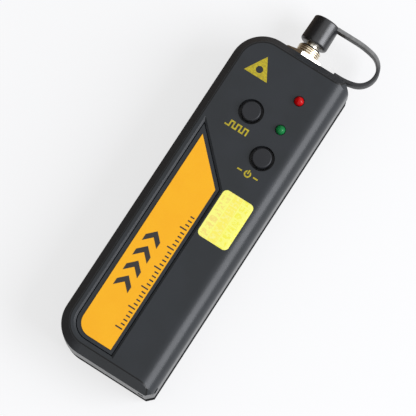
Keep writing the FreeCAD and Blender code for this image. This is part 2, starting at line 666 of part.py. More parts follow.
def board_screws():
    """The four screws that hold the board to its posts."""
    return Part.makeCompound([
        screw(x, y, BOARD_BACK_Z, BOARD_SCREW_DIAMETER, BOARD_SCREW_LENGTH, BOARD_SCREW_HEAD,
              BOARD_SCREW_HEAD_HEIGHT) for x, y in post_places()])


# ================================================================ label, print and sticker
def face_label():
    """Orange label in the field of the front face."""
    face = Part.Face(label_outline(0.0, LABEL_RADIUS, LABEL_Z))
    return face.extrude(Vector(0, 0, LABEL_THICKNESS))


def chevron(x, y, z):
    """One bold chevron that points to the connector."""
    half = CHEVRON_HEIGHT / 2
    points = [(x - half, y), (x, y + CHEVRON_POINT), (x + half, y),
              (x + half, y + CHEVRON_STROKE), (x, y + CHEVRON_POINT + CHEVRON_STROKE),
              (x - half, y + CHEVRON_STROKE)]
    return prism(points, z, z + INK_THICKNESS)


def label_print():
    """Dark print on the label: a row of chevrons and a graduated scale."""
    z = LABEL_TOP_Z
    centre_x = LABEL_LEFT + CHEVRON_FROM_SIDE + CHEVRON_HEIGHT / 2
    first_y = LABEL_BOTTOM + CHEVRON_FROM_END
    marks = [chevron(centre_x, first_y + index * CHEVRON_PITCH, z)
             for index in range(CHEVRON_COUNT)]
    right = LABEL_LEFT + LABEL_WIDTH - SCALE_FROM_SIDE
    start = LABEL_BOTTOM + SCALE_FROM_END
    for index in range(SCALE_COUNT):
        length = SCALE_LONG if index % 5 == 0 else SCALE_SHORT
        y = start + index * SCALE_PITCH
        marks.append(box(right - length, right, y, y + SCALE_STROKE, z, z + INK_THICKNESS))
    return Part.makeCompound(marks)


def triangle_mark(z):
    """Upright triangle with a round dot left bare in its middle."""
    height = TRIANGLE_SIDE * math.sqrt(3) / 2
    x = LEFT_X + TRIANGLE_FROM_SIDE
    y = TOP_Y - TRIANGLE_FROM_TOP
    half = TRIANGLE_SIDE / 2
    mark = prism([(x - half, y), (x + half, y), (x, y + height)], z, z + INK_THICKNESS)
    return mark.cut(cylinder_z(TRIANGLE_DOT / 2, x, y + height / 3, z - WALL, z + WALL))


def pulse_mark(x, y, z):
    """Square wave for the modulation button, centred on (x, y)."""
    stroke, height = SYMBOL_STROKE, SYMBOL_HEIGHT
    low, high = y - height / 2, y + height / 2
    left = x - (2 * PULSE_COUNT * PULSE_WIDTH + stroke) / 2
    strokes = []
    for index in range(2 * PULSE_COUNT):
        start = left + index * PULSE_WIDTH
        level = high - stroke if index % 2 else low
        strokes.append(box(start, start + PULSE_WIDTH + stroke, level, level + stroke,
                           z, z + INK_THICKNESS))
        strokes.append(box(start + PULSE_WIDTH, start + PULSE_WIDTH + stroke, low, high,
                           z, z + INK_THICKNESS))
    return fused(strokes)


def power_mark(x, y, z):
    """Open ring with an upright stroke, between two bars, for the power button."""
    radius = SYMBOL_HEIGHT / 2
    top = z + INK_THICKNESS
    ring = cylinder_z(radius, x, y, z, top).cut(cylinder_z(radius - SYMBOL_STROKE, x, y, z, top))
    gap = SYMBOL_STROKE
    ring = ring.cut(box(x - gap, x + gap, y, y + 2 * radius, z, top))
    half = SYMBOL_STROKE / 2
    stroke = box(x - half, x + half, y, y + radius + half, z, top)
    reach = radius + POWER_BAR_GAP
    bars = [box(x + reach, x + reach + POWER_BAR_LENGTH, y - half, y + half, z, top),
            box(x - reach - POWER_BAR_LENGTH, x - reach, y - half, y + half, z, top)]
    return Part.makeCompound([ring, stroke] + bars)


def panel_print():
    """Yellow print on the front face: the triangle and the two button symbols."""
    z = BODY_DEPTH
    places = [(x - SYMBOL_SHIFT, y - SYMBOL_DROP) for x, y in (MOD_CENTRE, POWER_CENTRE)]
    return Part.makeCompound([triangle_mark(z), pulse_mark(*places[0], z),
                              power_mark(*places[1], z)])


def inspection_sticker():
    """Thin yellow sticker that follows the front face and the start of its rounded side."""
    left = LABEL_LEFT + LABEL_WIDTH + LABEL_BORDER + STICKER_GAP
    top = POWER_CENTRE[1] - STICKER_BELOW_POWER
    skin = body_solid(-STICKER_THICKNESS).cut(body_solid(0.0))
    plan = rounded_rectangle(left, left + STICKER_WIDTH, top - STICKER_LENGTH, top,
                             STICKER_RADIUS, INNER_FRONT_Z, BODY_DEPTH + WALL)
    return skin.common(plan)


# ================================================================ controls
def button(centre):
    """Push button: round cap through the front wall, kept in by its flange."""
    x, y = centre
    cap = cylinder_z(BUTTON_DIAMETER / 2, x, y, PLUNGER_TOP_Z, BODY_DEPTH + BUTTON_PROUD)
    rim = [e for e in cap.Edges if e.BoundBox.ZMin > BODY_DEPTH]
    cap = cap.makeFillet(BUTTON_ROUND, rim)
    flange = cylinder_z(BUTTON_FLANGE_DIAMETER / 2, x, y, PLUNGER_TOP_Z, FLANGE_TOP_Z)
    return cap.fuse(flange).removeSplitter()


def switch_base(centre):
    """Square body of a tactile switch, with the well that its plunger moves in."""
    x, y = centre
    half = SWITCH_WIDTH / 2
    body = box(x - half, x + half, y - half, y + half, BOARD_TOP_Z, SWITCH_TOP_Z)
    well_z = SWITCH_TOP_Z - PLUNGER_DEPTH - PRESS_TRAVEL - PRESS_ROOM
    return body.cut(cylinder_z(PLUNGER_DIAMETER / 2 + PLUNGER_CLEARANCE, x, y, well_z, FAR))


def switch_plunger(centre):
    """Round plunger of a tactile switch."""
    x, y = centre
    return cylinder_z(PLUNGER_DIAMETER / 2, x, y, SWITCH_TOP_Z - PLUNGER_DEPTH, PLUNGER_TOP_Z)


def led(y):
    """Domed 3 mm LED with its flange and two leads through the board."""
    flange_z = INNER_FRONT_Z - LED_FLANGE_DEPTH
    radius = LED_DIAMETER / 2
    dome_z = BODY_DEPTH + LED_PROUD - radius
    parts = [cylinder_z(LED_FLANGE_DIAMETER / 2, LED_X, y, flange_z,
                        flange_z + LED_FLANGE_THICKNESS),
             cylinder_z(radius, LED_X, y, flange_z, dome_z),
             Part.makeSphere(radius, Vector(LED_X, y, dome_z))]
    for side in (-1, 1):
        parts.append(cylinder_z(LEAD_DIAMETER / 2, LED_X + side * LEAD_SPACING / 2, y,
                                BOARD_BACK_Z - LEAD_TAIL, flange_z + LED_FLANGE_THICKNESS / 2))
    return fused(parts)


# ================================================================ circuit board
def circuit_board():
    """Board with a notch for the laser holder and holes for screws and leads."""
    half = BOARD_HALF_WIDTH
    notch = HOLDER_DIAMETER / 2 + NOTCH_SIDE_CLEARANCE
    floor_y = HOLDER_BACK_Y - NOTCH_END_CLEARANCE
    board = box(-half, half, BOARD_BOTTOM_Y, BOARD_TOP_Y, BOARD_BACK_Z, BOARD_TOP_Z)
    board = board.cut(box(-notch, notch, floor_y, FAR, BOARD_BACK_Z, BOARD_TOP_Z))
    for x, y in post_places():
        board = board.cut(cylinder_z(BOARD_SCREW_DIAMETER / 2 + BOARD_HOLE_CLEARANCE, x, y,
                                     BOARD_BACK_Z, BOARD_TOP_Z))
    for x, y in lead_places():
        board = board.cut(cylinder_z(LEAD_DIAMETER / 2 + LEAD_HOLE_CLEARANCE, x, y,
                                     BOARD_BACK_Z, BOARD_TOP_Z))
    return board


def board_middle():
    """Centre of the free area on the back of the board."""
    return 0.0, (BOARD_BOTTOM_Y + HOLDER_BACK_Y - NOTCH_END_CLEARANCE) / 2


def driver_chip():
    """Eight-pin laser driver on the back of the board."""
    x, y = board_middle()
    x -= CHIP_LENGTH
    top = BOARD_BACK_Z
    body = box(x - CHIP_WIDTH / 2, x + CHIP_WIDTH / 2, y - CHIP_LENGTH / 2, y + CHIP_LENGTH / 2,
               top - CHIP_HEIGHT, top)
    reach = CHIP_WIDTH / 2 + CHIP_PIN_REACH
    for index in range(CHIP_PINS):
        pin_y = y + (index - (CHIP_PINS - 1) / 2) * CHIP_PIN_PITCH - CHIP_PIN_WIDTH / 2
        body = body.fuse(box(x - reach, x + reach, pin_y, pin_y + CHIP_PIN_WIDTH,
                             top - CHIP_HEIGHT / 4, top))
    return body.removeSplitter()


def trimmer():
    """Small trimmer that sets the laser current, on the back of the board."""
    x, y = board_middle()
    x += CHIP_LENGTH
    half = TRIMMER_WIDTH / 2
    bottom = BOARD_BACK_Z - TRIMMER_HEIGHT
    body = box(x - half, x + half, y - half, y + half, bottom, BOARD_BACK_Z)
    turn = cylinder_z(TRIMMER_SCREW_DIAMETER / 2, x, y, bottom - TRIMMER_SLOT, bottom)
    turn = turn.cut(box(x - half, x + half, y - TRIMMER_SLOT / 2, y + TRIMMER_SLOT / 2,
                        bottom - TRIMMER_SLOT, bottom))
    return body.fuse(turn).removeSplitter()


def filter_capacitor():
    """Round can capacitor on its square base, on the back of the board."""
    half = CAPACITOR_DIAMETER / 2
    x, y = 0.0, BOARD_BOTTOM_Y + CAPACITOR_FROM_END + half
    base = box(x - half, x + half, y - half, y + half, BOARD_BACK_Z - CAPACITOR_BASE, BOARD_BACK_Z)
    can = cylinder_z(half - LEAD_DIAMETER / 2, x, y, BOARD_BACK_Z - CAPACITOR_HEIGHT, BOARD_BACK_Z)
    return base.fuse(can).removeSplitter()


def chip_resistors():
    """Two rows of chip resistors beside the driver."""
    x, y = board_middle()
    solids = []
    for index in range(RESISTOR_COUNT):
        side = -1 if index % 2 else 1
        centre_x = x + side * (2 * CHIP_LENGTH + RESISTOR_LENGTH / 2)
        low_y = y + (index // 2 - RESISTOR_COUNT / 4) * RESISTOR_PITCH
        solids.append(box(centre_x - RESISTOR_LENGTH / 2, centre_x + RESISTOR_LENGTH / 2,
                          low_y, low_y + RESISTOR_WIDTH, BOARD_BACK_Z - RESISTOR_HEIGHT,
                          BOARD_BACK_Z))
    return Part.makeCompound(solids)


# ================================================================ connector and laser
def connector_body():
    """Turned adapter: threaded barrel, neck, inner shoulder and rear shank."""
    barrel = cylinder_y(BARREL_DIAMETER / 2, SHOULDER_BACK_Y, BARREL_END_Y)
    rim = [e for e in barrel.Edges if e.BoundBox.YMin > BARREL_END_Y - 1e-6]
    barrel = barrel.makeChamfer(BARREL_CHAMFER, rim)
    body = fused([barrel,
                  cylinder_y(SHOULDER_DIAMETER / 2, SHOULDER_BACK_Y, SHOULDER_FRONT_Y),
                  cylinder_y(NECK_DIAMETER / 2, SHOULDER_BACK_Y, NECK_END_Y),
                  cylinder_y(REAR_SHANK_DIAMETER / 2, SHANK_BACK_Y, SHOULDER_FRONT_Y)])
    body = body.cut(cylinder_y(SLEEVE_DIAMETER / 2 + SLEEVE_CLEARANCE, SLEEVE_START_Y, FAR))
    return body.cut(cylinder_y(LIGHT_HOLE_DIAMETER / 2, 0.0, FAR))


def ceramic_sleeve():
    """Alignment sleeve for a 2.5 mm ferrule."""
    sleeve = cylinder_y(SLEEVE_DIAMETER / 2, SLEEVE_START_Y, NECK_END_Y)
    return sleeve.cut(cylinder_y(FERRULE_DIAMETER / 2 + FERRULE_CLEARANCE, SLEEVE_START_Y,
                                 NECK_END_Y))


def connector_nut():
    """Thin hexagon nut that clamps the adapter in the end wall."""
    radius = NUT_FLATS / math.sqrt(3)
    corners = []
    for index in range(6):
        angle = math.radians(60 * index + NUT_TURN)
        corners.append(Vector(radius * math.cos(angle), TOP_Y, AXIS_Z + radius * math.sin(angle)))
    face = Part.Face(Part.makePolygon(corners + corners[:1]))
    nut = face.extrude(Vector(0, NUT_THICKNESS, 0))
    cone = Part.makeCone(radius + NUT_THICKNESS - NUT_CHAMFER, radius - NUT_CHAMFER, NUT_THICKNESS,
                         Vector(0, TOP_Y, AXIS_Z), Vector(0, 1, 0))
    nut = nut.common(cone)
    return nut.cut(cylinder_y(BARREL_DIAMETER / 2 + RING_CLEARANCE, 0.0, FAR))


def lock_washer():
    """Washer between the adapter's shoulder and the inside of the end wall."""
    ring = cylinder_y(WASHER_DIAMETER / 2, SHOULDER_FRONT_Y, TOP_Y - WALL)
    return ring.cut(cylinder_y(BARREL_DIAMETER / 2 + RING_CLEARANCE, 0.0, FAR))


def laser_holder():
    """Brass tube that lines up the diode and the lens with the adapter."""
    holder = cylinder_y(HOLDER_DIAMETER / 2, HOLDER_BACK_Y, SHOULDER_BACK_Y)
    front_bore = cylinder_y(REAR_SHANK_DIAMETER / 2 + HOLDER_CLEARANCE, LENS_BACK_Y, FAR)
    seat_bore = cylinder_y(LENS_SEAT_DIAMETER / 2, 0.0, FAR)
    rear_bore = cylinder_y(DIODE_FLANGE_DIAMETER / 2 + HOLDER_CLEARANCE, 0.0, DIODE_FRONT_Y)
    return holder.cut(fused([front_bore, seat_bore, rear_bore]))


def focusing_lens():
    """Plano-convex lens with a flat rim."""
    rim = cylinder_y(REAR_SHANK_DIAMETER / 2, LENS_BACK_Y, LENS_FRONT_Y - LENS_BULGE)
    half = LENS_SEAT_DIAMETER / 2
    radius = (half * half + LENS_BULGE * LENS_BULGE) / (2 * LENS_BULGE)
    ball = Part.makeSphere(radius, Vector(0, LENS_FRONT_Y - radius, AXIS_Z))
    bulge = ball.common(cylinder_y(half, LENS_FRONT_Y - LENS_BULGE, LENS_FRONT_Y + LENS_BULGE))
    return rim.fuse(bulge).removeSplitter()


def lens_retainer():
    """Ring that presses the lens against its seat."""
    ring = cylinder_y(REAR_SHANK_DIAMETER / 2, LENS_FRONT_Y - LENS_BULGE, SHANK_BACK_Y)
    return ring.cut(cylinder_y(LENS_SEAT_DIAMETER / 2 + HOLDER_CLEARANCE, 0.0, FAR))


def laser_diode():
    """Metal-can laser diode with two pins."""
    parts = [cylinder_y(DIODE_FLANGE_DIAMETER / 2, DIODE_BACK_Y, DIODE_FRONT_Y),
             cylinder_y(DIODE_CAP_DIAMETER / 2, DIODE_BACK_Y, DIODE_FRONT_Y + DIODE_CAP_HEIGHT)]
    for side in (-1, 1):
        parts.append(cylinder_y(DIODE_PIN_DIAMETER / 2, DIODE_BACK_Y - DIODE_PIN_LENGTH,
                                DIODE_FRONT_Y, side * DIODE_PIN_SPACING / 2))
    return fused(parts)


# ================================================================ dust cap and tether
def dust_cap():
    """Soft cap with round edges, bored to grip the adapter's neck."""
    tip_radius = CAP_TIP_DIAMETER / 2
    body = Part.makeCone(CAP_DIAMETER / 2, tip_radius, CAP_LENGTH, Vector(0, CAP_MOUTH_Y, AXIS_Z),
                         Vector(0, 1, 0))
    mouth = [e for e in body.Edges if e.BoundBox.YMax < CAP_MOUTH_Y + 1e-3]
    body = body.makeFillet(CAP_MOUTH_ROUND, mouth)
    tip = [e for e in body.Edges if e.BoundBox.YMin > CAP_TIP_Y - 1e-3]
    body = body.makeFillet(CAP_TIP_ROUND, tip)
    return body.cut(cylinder_y(NECK_DIAMETER / 2 + CAP_BORE_CLEARANCE, 0.0,
                               NECK_END_Y + CAP_BORE_ROOM))


def tether_band(side):
    """Edges along one side of the band, from the cap to the tail, side being +1 out, -1 in."""
    offset = side * TETHER_THICKNESS / 2
    lean = math.radians(TETHER_SLOPE)
    start = (CAP_TIP_DIAMETER / 2, CAP_TIP_Y - TETHER_FROM_TIP)
    run_end = (start[0] + TETHER_RUN, start[1])
    bend_centre = (run_end[0], run_end[1] - BEND_RADIUS)
    inner_radius = BEND_RADIUS - LOOP_RADIUS
    centre = (bend_centre[0] + inner_radius * math.sin(lean),
              bend_centre[1] + inner_radius * math.cos(lean))
    first = 90 - TETHER_SLOPE
    last = first - LOOP_TURN
    turn = math.radians(last + 90)
    low = centre[1] + LOOP_RADIUS * math.sin(math.radians(last))
    landing = TOP_Y + PAD_THICKNESS - PAD_OVERLAP + TETHER_THICKNESS / 2
    wide = (low - landing) / (1 - math.cos(turn))
    reach = centre[0] + LOOP_RADIUS * math.cos(math.radians(last)) - wide * math.sin(turn)
    wide_centre = (reach, landing + wide)
    return [line((start[0], start[1] + offset), (run_end[0], run_end[1] + offset), 0.0),
            arc(bend_centre, BEND_RADIUS + offset, 90, first, 0.0),
            arc(centre, LOOP_RADIUS + offset, first, last, 0.0),
            arc(wide_centre, wide + offset, last, -90, 0.0),
            line((reach, landing - offset), (TAIL_END_X, landing - offset), 0.0)]


def cap_tether():
    """Moulded band from the dust cap to a stud held between the two shells."""
    outer = tether_band(1)
    inner = tether_band(-1)
    first = line(inner[0].Vertexes[0].Point[:2], outer[0].Vertexes[0].Point[:2], 0.0)
    last = line(inner[-1].Vertexes[-1].Point[:2], outer[-1].Vertexes[-1].Point[:2], 0.0)
    outline = Part.Wire(Part.__sortEdges__([first] + outer + [last] + inner))
    z0 = AXIS_Z - TETHER_WIDTH / 2
    outline.translate(Vector(0, 0, z0))
    band = Part.Face(outline).extrude(Vector(0, 0, TETHER_WIDTH))
    band = band.cut(cylinder_y(CAP_DIAMETER / 2, CAP_MOUTH_Y, CAP_TIP_Y))
    pad = box(PAD_END_X, TAIL_END_X + PAD_ROOT, TOP_Y, TOP_Y + PAD_THICKNESS, z0,
              z0 + TETHER_WIDTH)
    head_y = TOP_Y - WALL - STUD_SLACK
    stud = cylinder_y(STUD_DIAMETER / 2, head_y, TOP_Y + PAD_THICKNESS, STUD_X)
    head = cylinder_y(STUD_HEAD_DIAMETER / 2, head_y - STUD_HEAD_LENGTH, head_y, STUD_X)
    return fused([band, pad, stud, head])


# ================================================================ cells, contacts and wires
def cell(x, direction):
    """AA cell, with its nub towards +Y or -Y."""
    if direction > 0:
        nub_end = BAY_END_Y - CONTACT_THICKNESS
    else:
        nub_end = BAY_START_Y + CONTACT_THICKNESS
    can_end = nub_end - direction * NUB_LENGTH
    back = nub_end - direction * CELL_LENGTH
    can = cylinder_y(CELL_DIAMETER / 2, min(can_end, back), max(can_end, back), x, CELL_Z)
    nub = cylinder_y(NUB_DIAMETER / 2, min(nub_end, can_end), max(nub_end, can_end), x, CELL_Z)
    return can.fuse(nub).removeSplitter()


def contact_plate(x0, x1, y0):
    """Flat contact plate against an end of the bay."""
    half = CONTACT_WIDTH / 2
    return box(x0 - half, x1 + half, y0, y0 + CONTACT_THICKNESS, CELL_Z - half, CELL_Z + half)


def contact_tongue(x, plate_y, direction):
    """Bent tongue that presses on a cell's flat end."""
    tip = plate_y + direction * SPRING_DEPTH
    lip = tip - direction * SPRING_DEPTH / 3
    sheet = direction * CONTACT_THICKNESS
    half = CONTACT_WIDTH / 2
    points = [(x - half, plate_y - sheet), (x - half, plate_y + sheet), (x, tip),
              (x + half / 2, lip), (x + half / 2, lip - sheet), (x, tip - 2 * sheet),
              (x - half + CONTACT_THICKNESS, plate_y - sheet)]
    return prism(points, CELL_Z - TONGUE_WIDTH / 2, CELL_Z + TONGUE_WIDTH / 2)


def contact_tab(x):
    """Solder tab through the bay's end wall."""
    half = CONTACT_THICKNESS / 2
    return box(x - TAB_WIDTH / 2, x + TAB_WIDTH / 2, BAY_END_Y - CONTACT_THICKNESS,
               BAY_END_Y + BAY_END_WALL + TAB_LENGTH, CELL_Z - half, CELL_Z + half)


def positive_contact():
    """Plate that the left cell's nub presses on."""
    plate = contact_plate(-CELL_X, -CELL_X, BAY_END_Y - CONTACT_THICKNESS)
    return fused([plate, contact_tab(-CELL_X)])


def negative_contact():
    """Plate and tongue against the right cell's flat end."""
    y = BAY_END_Y - CONTACT_THICKNESS
    return fused([contact_plate(CELL_X, CELL_X, y), contact_tongue(CELL_X, y, -1),
                  contact_tab(CELL_X)])


def bridge_contact():
    """Plate that joins the cells at the bottom of the bay, with a tongue for the left one."""
    y = BAY_START_Y + CONTACT_THICKNESS
    return fused([contact_plate(-CELL_X, CELL_X, BAY_START_Y), contact_tongue(-CELL_X, y, 1)])


def wire(x, start_y, start_z, direction, diameter):
    """Lead that leaves along Y, climbs and ends upright on the back of the board."""
    points = [Vector(x, start_y, start_z),
              Vector(x, start_y + direction * WIRE_RUN, start_z),
              Vector(x, start_y + direction * (WIRE_RUN + WIRE_CLIMB_RUN), BOARD_BACK_Z - WIRE_STUB),
              Vector(x, start_y + direction * (WIRE_RUN + WIRE_CLIMB_RUN), BOARD_BACK_Z)]
    edges = []
    last = points[0]
    for before, corner, after in zip(points, points[1:], points[2:]):
        inward = (before - corner).normalize()
        onward = (after - corner).normalize()
        half_turn = (math.pi - inward.getAngle(onward)) / 2
        setback = 0.45 * min(corner.distanceToPoint(before), corner.distanceToPoint(after))
        radius = setback / math.tan(half_turn)
        entry = corner + inward * setback
        leave = corner + onward * setback
        middle_way = (inward + onward).normalize()
        middle = corner + middle_way * (radius / math.cos(half_turn) - radius)
        edges.append(Part.LineSegment(last, entry).toShape())
        edges.append(Part.Arc(entry, middle, leave).toShape())
        last = leave
    edges.append(Part.LineSegment(last, points[-1]).toShape())
    path = Part.Wire(edges)
    section = Part.Wire(Part.makeCircle(diameter / 2, points[0], Vector(0, 1, 0)))
    return path.makePipeShell([section], True, False)


def laser_wire(side):
    """Lead from a diode pin to the board."""
    return wire(side * LASER_WIRE_SPACING / 2, DIODE_BACK_Y - DIODE_PIN_LENGTH, AXIS_Z, -1,
                LASER_WIRE_DIAMETER)


def battery_wire(side):
    """Lead from a battery contact's tab to the board."""
    return wire(side * CELL_X, BAY_END_Y + BAY_END_WALL + TAB_LENGTH, CELL_Z, 1,
                BATTERY_WIRE_DIAMETER)


SUB_PARTS = {
    "front_shell": front_shell,
    "back_shell": back_shell,
    "battery_door": battery_door,
    "case_screws": case_screws,
    "face_label": face_label,
    "label_print": label_print,
    "panel_print": panel_print,
    "inspection_sticker": inspection_sticker,
    "mod_button": lambda: button(MOD_CENTRE),
    "pwr_button": lambda: button(POWER_CENTRE),
    "mod_switch_base": lambda: switch_base(MOD_CENTRE),
    "mod_switch_plunger": lambda: switch_plunger(MOD_CENTRE),
    "pwr_switch_base": lambda: switch_base(POWER_CENTRE),
    "pwr_switch_plunger": lambda: switch_plunger(POWER_CENTRE),
    "red_led": lambda: led(RED_LED_Y),
    "green_led": lambda: led(GREEN_LED_Y),
    "circuit_board": circuit_board,
    "board_screws": board_screws,
    "driver_chip": driver_chip,
    "trimmer": trimmer,
    "filter_capacitor": filter_capacitor,
    "chip_resistors": chip_resistors,
    "connector_body": connector_body,
    "ceramic_sleeve": ceramic_sleeve,
    "connector_nut": connector_nut,
    "lock_washer": lock_washer,
    "laser_holder": laser_holder,
    "focusing_lens": focusing_lens,
    "lens_retainer": lens_retainer,
    "laser_diode": laser_diode,
    "laser_wire_red": lambda: laser_wire(1),
    "laser_wire_black": lambda: laser_wire(-1),
    "dust_cap": dust_cap,
    "cap_tether": cap_tether,
    "left_cell": lambda: cell(-CELL_X, 1),
    "right_cell": lambda: cell(CELL_X, -1),
    "positive_contact": positive_contact,
    "negative_contact": negative_contact,
    "bridge_contact": bridge_contact,
    "battery_wire_red": lambda: battery_wire(-1),
    "battery_wire_black": lambda: battery_wire(1),
}


def main():
    """Write one STEP file per sub-part."""
    os.makedirs("parts", exist_ok=True)
    for name, make in SUB_PARTS.items():
        shape = make()
        if not shape.isValid() or not shape.Solids:
            raise ValueError(f"{name} is not a valid solid")
        shape.exportStep(os.path.join("parts", f"{name}.step"))
        print(f"{name}: {len(shape.Solids)} solid(s), {shape.Volume:.2f} mm3")


main()
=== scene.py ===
"""Looks of the handheld visual fault locator, dressed over its packed construction.

Lengths in the classes are millimetres in the construction's frame: +Y runs along the case towards
the fibre connector, +Z points out of the front face, and the tester lies on z = 0.
"""
from __future__ import annotations

import logging
import math
from dataclasses import dataclass
from enum import Enum
from typing import Any, Mapping, Sequence

import bpy
import numpy as np
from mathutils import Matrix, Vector


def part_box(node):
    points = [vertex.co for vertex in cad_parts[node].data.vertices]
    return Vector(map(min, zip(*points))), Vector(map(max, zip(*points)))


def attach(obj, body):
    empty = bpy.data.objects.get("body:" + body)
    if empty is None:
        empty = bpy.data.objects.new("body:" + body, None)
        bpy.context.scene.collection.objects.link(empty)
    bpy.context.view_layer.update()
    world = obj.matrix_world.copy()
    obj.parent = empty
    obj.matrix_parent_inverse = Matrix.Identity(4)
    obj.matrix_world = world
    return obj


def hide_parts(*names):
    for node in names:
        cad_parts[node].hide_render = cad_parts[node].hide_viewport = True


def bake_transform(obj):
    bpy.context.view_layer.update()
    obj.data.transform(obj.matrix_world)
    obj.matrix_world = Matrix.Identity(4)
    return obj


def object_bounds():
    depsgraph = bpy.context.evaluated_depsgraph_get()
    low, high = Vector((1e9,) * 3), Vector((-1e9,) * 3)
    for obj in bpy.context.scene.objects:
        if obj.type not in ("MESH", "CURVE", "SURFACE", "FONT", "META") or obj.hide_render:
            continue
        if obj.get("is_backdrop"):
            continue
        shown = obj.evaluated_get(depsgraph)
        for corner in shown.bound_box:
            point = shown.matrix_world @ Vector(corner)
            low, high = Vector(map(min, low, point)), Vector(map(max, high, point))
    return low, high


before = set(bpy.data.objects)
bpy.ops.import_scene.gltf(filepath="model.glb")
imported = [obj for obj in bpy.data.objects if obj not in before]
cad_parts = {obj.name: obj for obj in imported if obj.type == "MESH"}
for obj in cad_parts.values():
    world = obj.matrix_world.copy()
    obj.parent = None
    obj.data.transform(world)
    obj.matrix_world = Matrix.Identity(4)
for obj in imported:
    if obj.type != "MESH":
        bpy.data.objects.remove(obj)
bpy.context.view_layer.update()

MM = 0.001
PATCH = (0.35, 0.65)             # noise values between which one tone turns into the other
GLOSS_PATCH = (0.3, 0.7)         # the same, for the roughness
LOG = logging.getLogger("scene")

Socket = bpy.types.NodeSocket
Tree = bpy.types.NodeTree


class Body(Enum):
    """Bodies of the construction that a piece can ride on."""

    HOUSING = "housing"
    CAP = "dust_cap"


class Relief(Enum):
    """How the fine relief of a surface runs."""

    EVEN = (1.0, 1.0, 1.0)
    ALONG_Y = (1.0, 0.06, 1.0)
    ROUND_Y = (0.05, 1.0, 0.05)
    ROUND_Z = (0.05, 0.05, 1.0)


# ---------------------------------------------------------------- nodes
def linear(code: str) -> tuple[float, float, float, float]:
    """Turns an sRGB hex colour into linear RGBA.

    Args:
        code: colour such as "#3C3E42".

    Returns:
        The same colour as Blender's sockets take it.
    """
    channels = [int(code[i:i + 2], 16) / 255 for i in (1, 3, 5)]
    red, green, blue = [c / 12.92 if c <= 0.04045 else ((c + 0.055) / 1.055) ** 2.4
                        for c in channels]
    return red, green, blue, 1.0


def per_mm(size: float) -> float:
    """Texture scale at which features are size millimetres wide, on coordinates in metres."""
    return 1.0 / (size * MM)


def add_node(tree: Tree, kind: str, settings: Mapping[Any, Any] | None = None,
             links: Mapping[Any, Socket] | None = None) -> bpy.types.Node:
    """Adds one shader node with its settings and links.

    Args:
        tree: the material's node tree.
        kind: node type without its "ShaderNode" prefix.
        settings: values by input name or index, or by property name where no input has it.
        links: output sockets by the name or index of the input that they feed.

    Returns:
        The new node.
    """
    node = tree.nodes.new("ShaderNode" + kind)
    properties = {key: value for key, value in (settings or {}).items()
                  if isinstance(key, str) and key not in node.inputs}
    for key, value in properties.items():
        setattr(node, key, value)
    for key, value in (settings or {}).items():
        if key not in properties:
            node.inputs[key].default_value = value
    for key, socket in (links or {}).items():
        tree.links.new(socket, node.inputs[key])
    return node


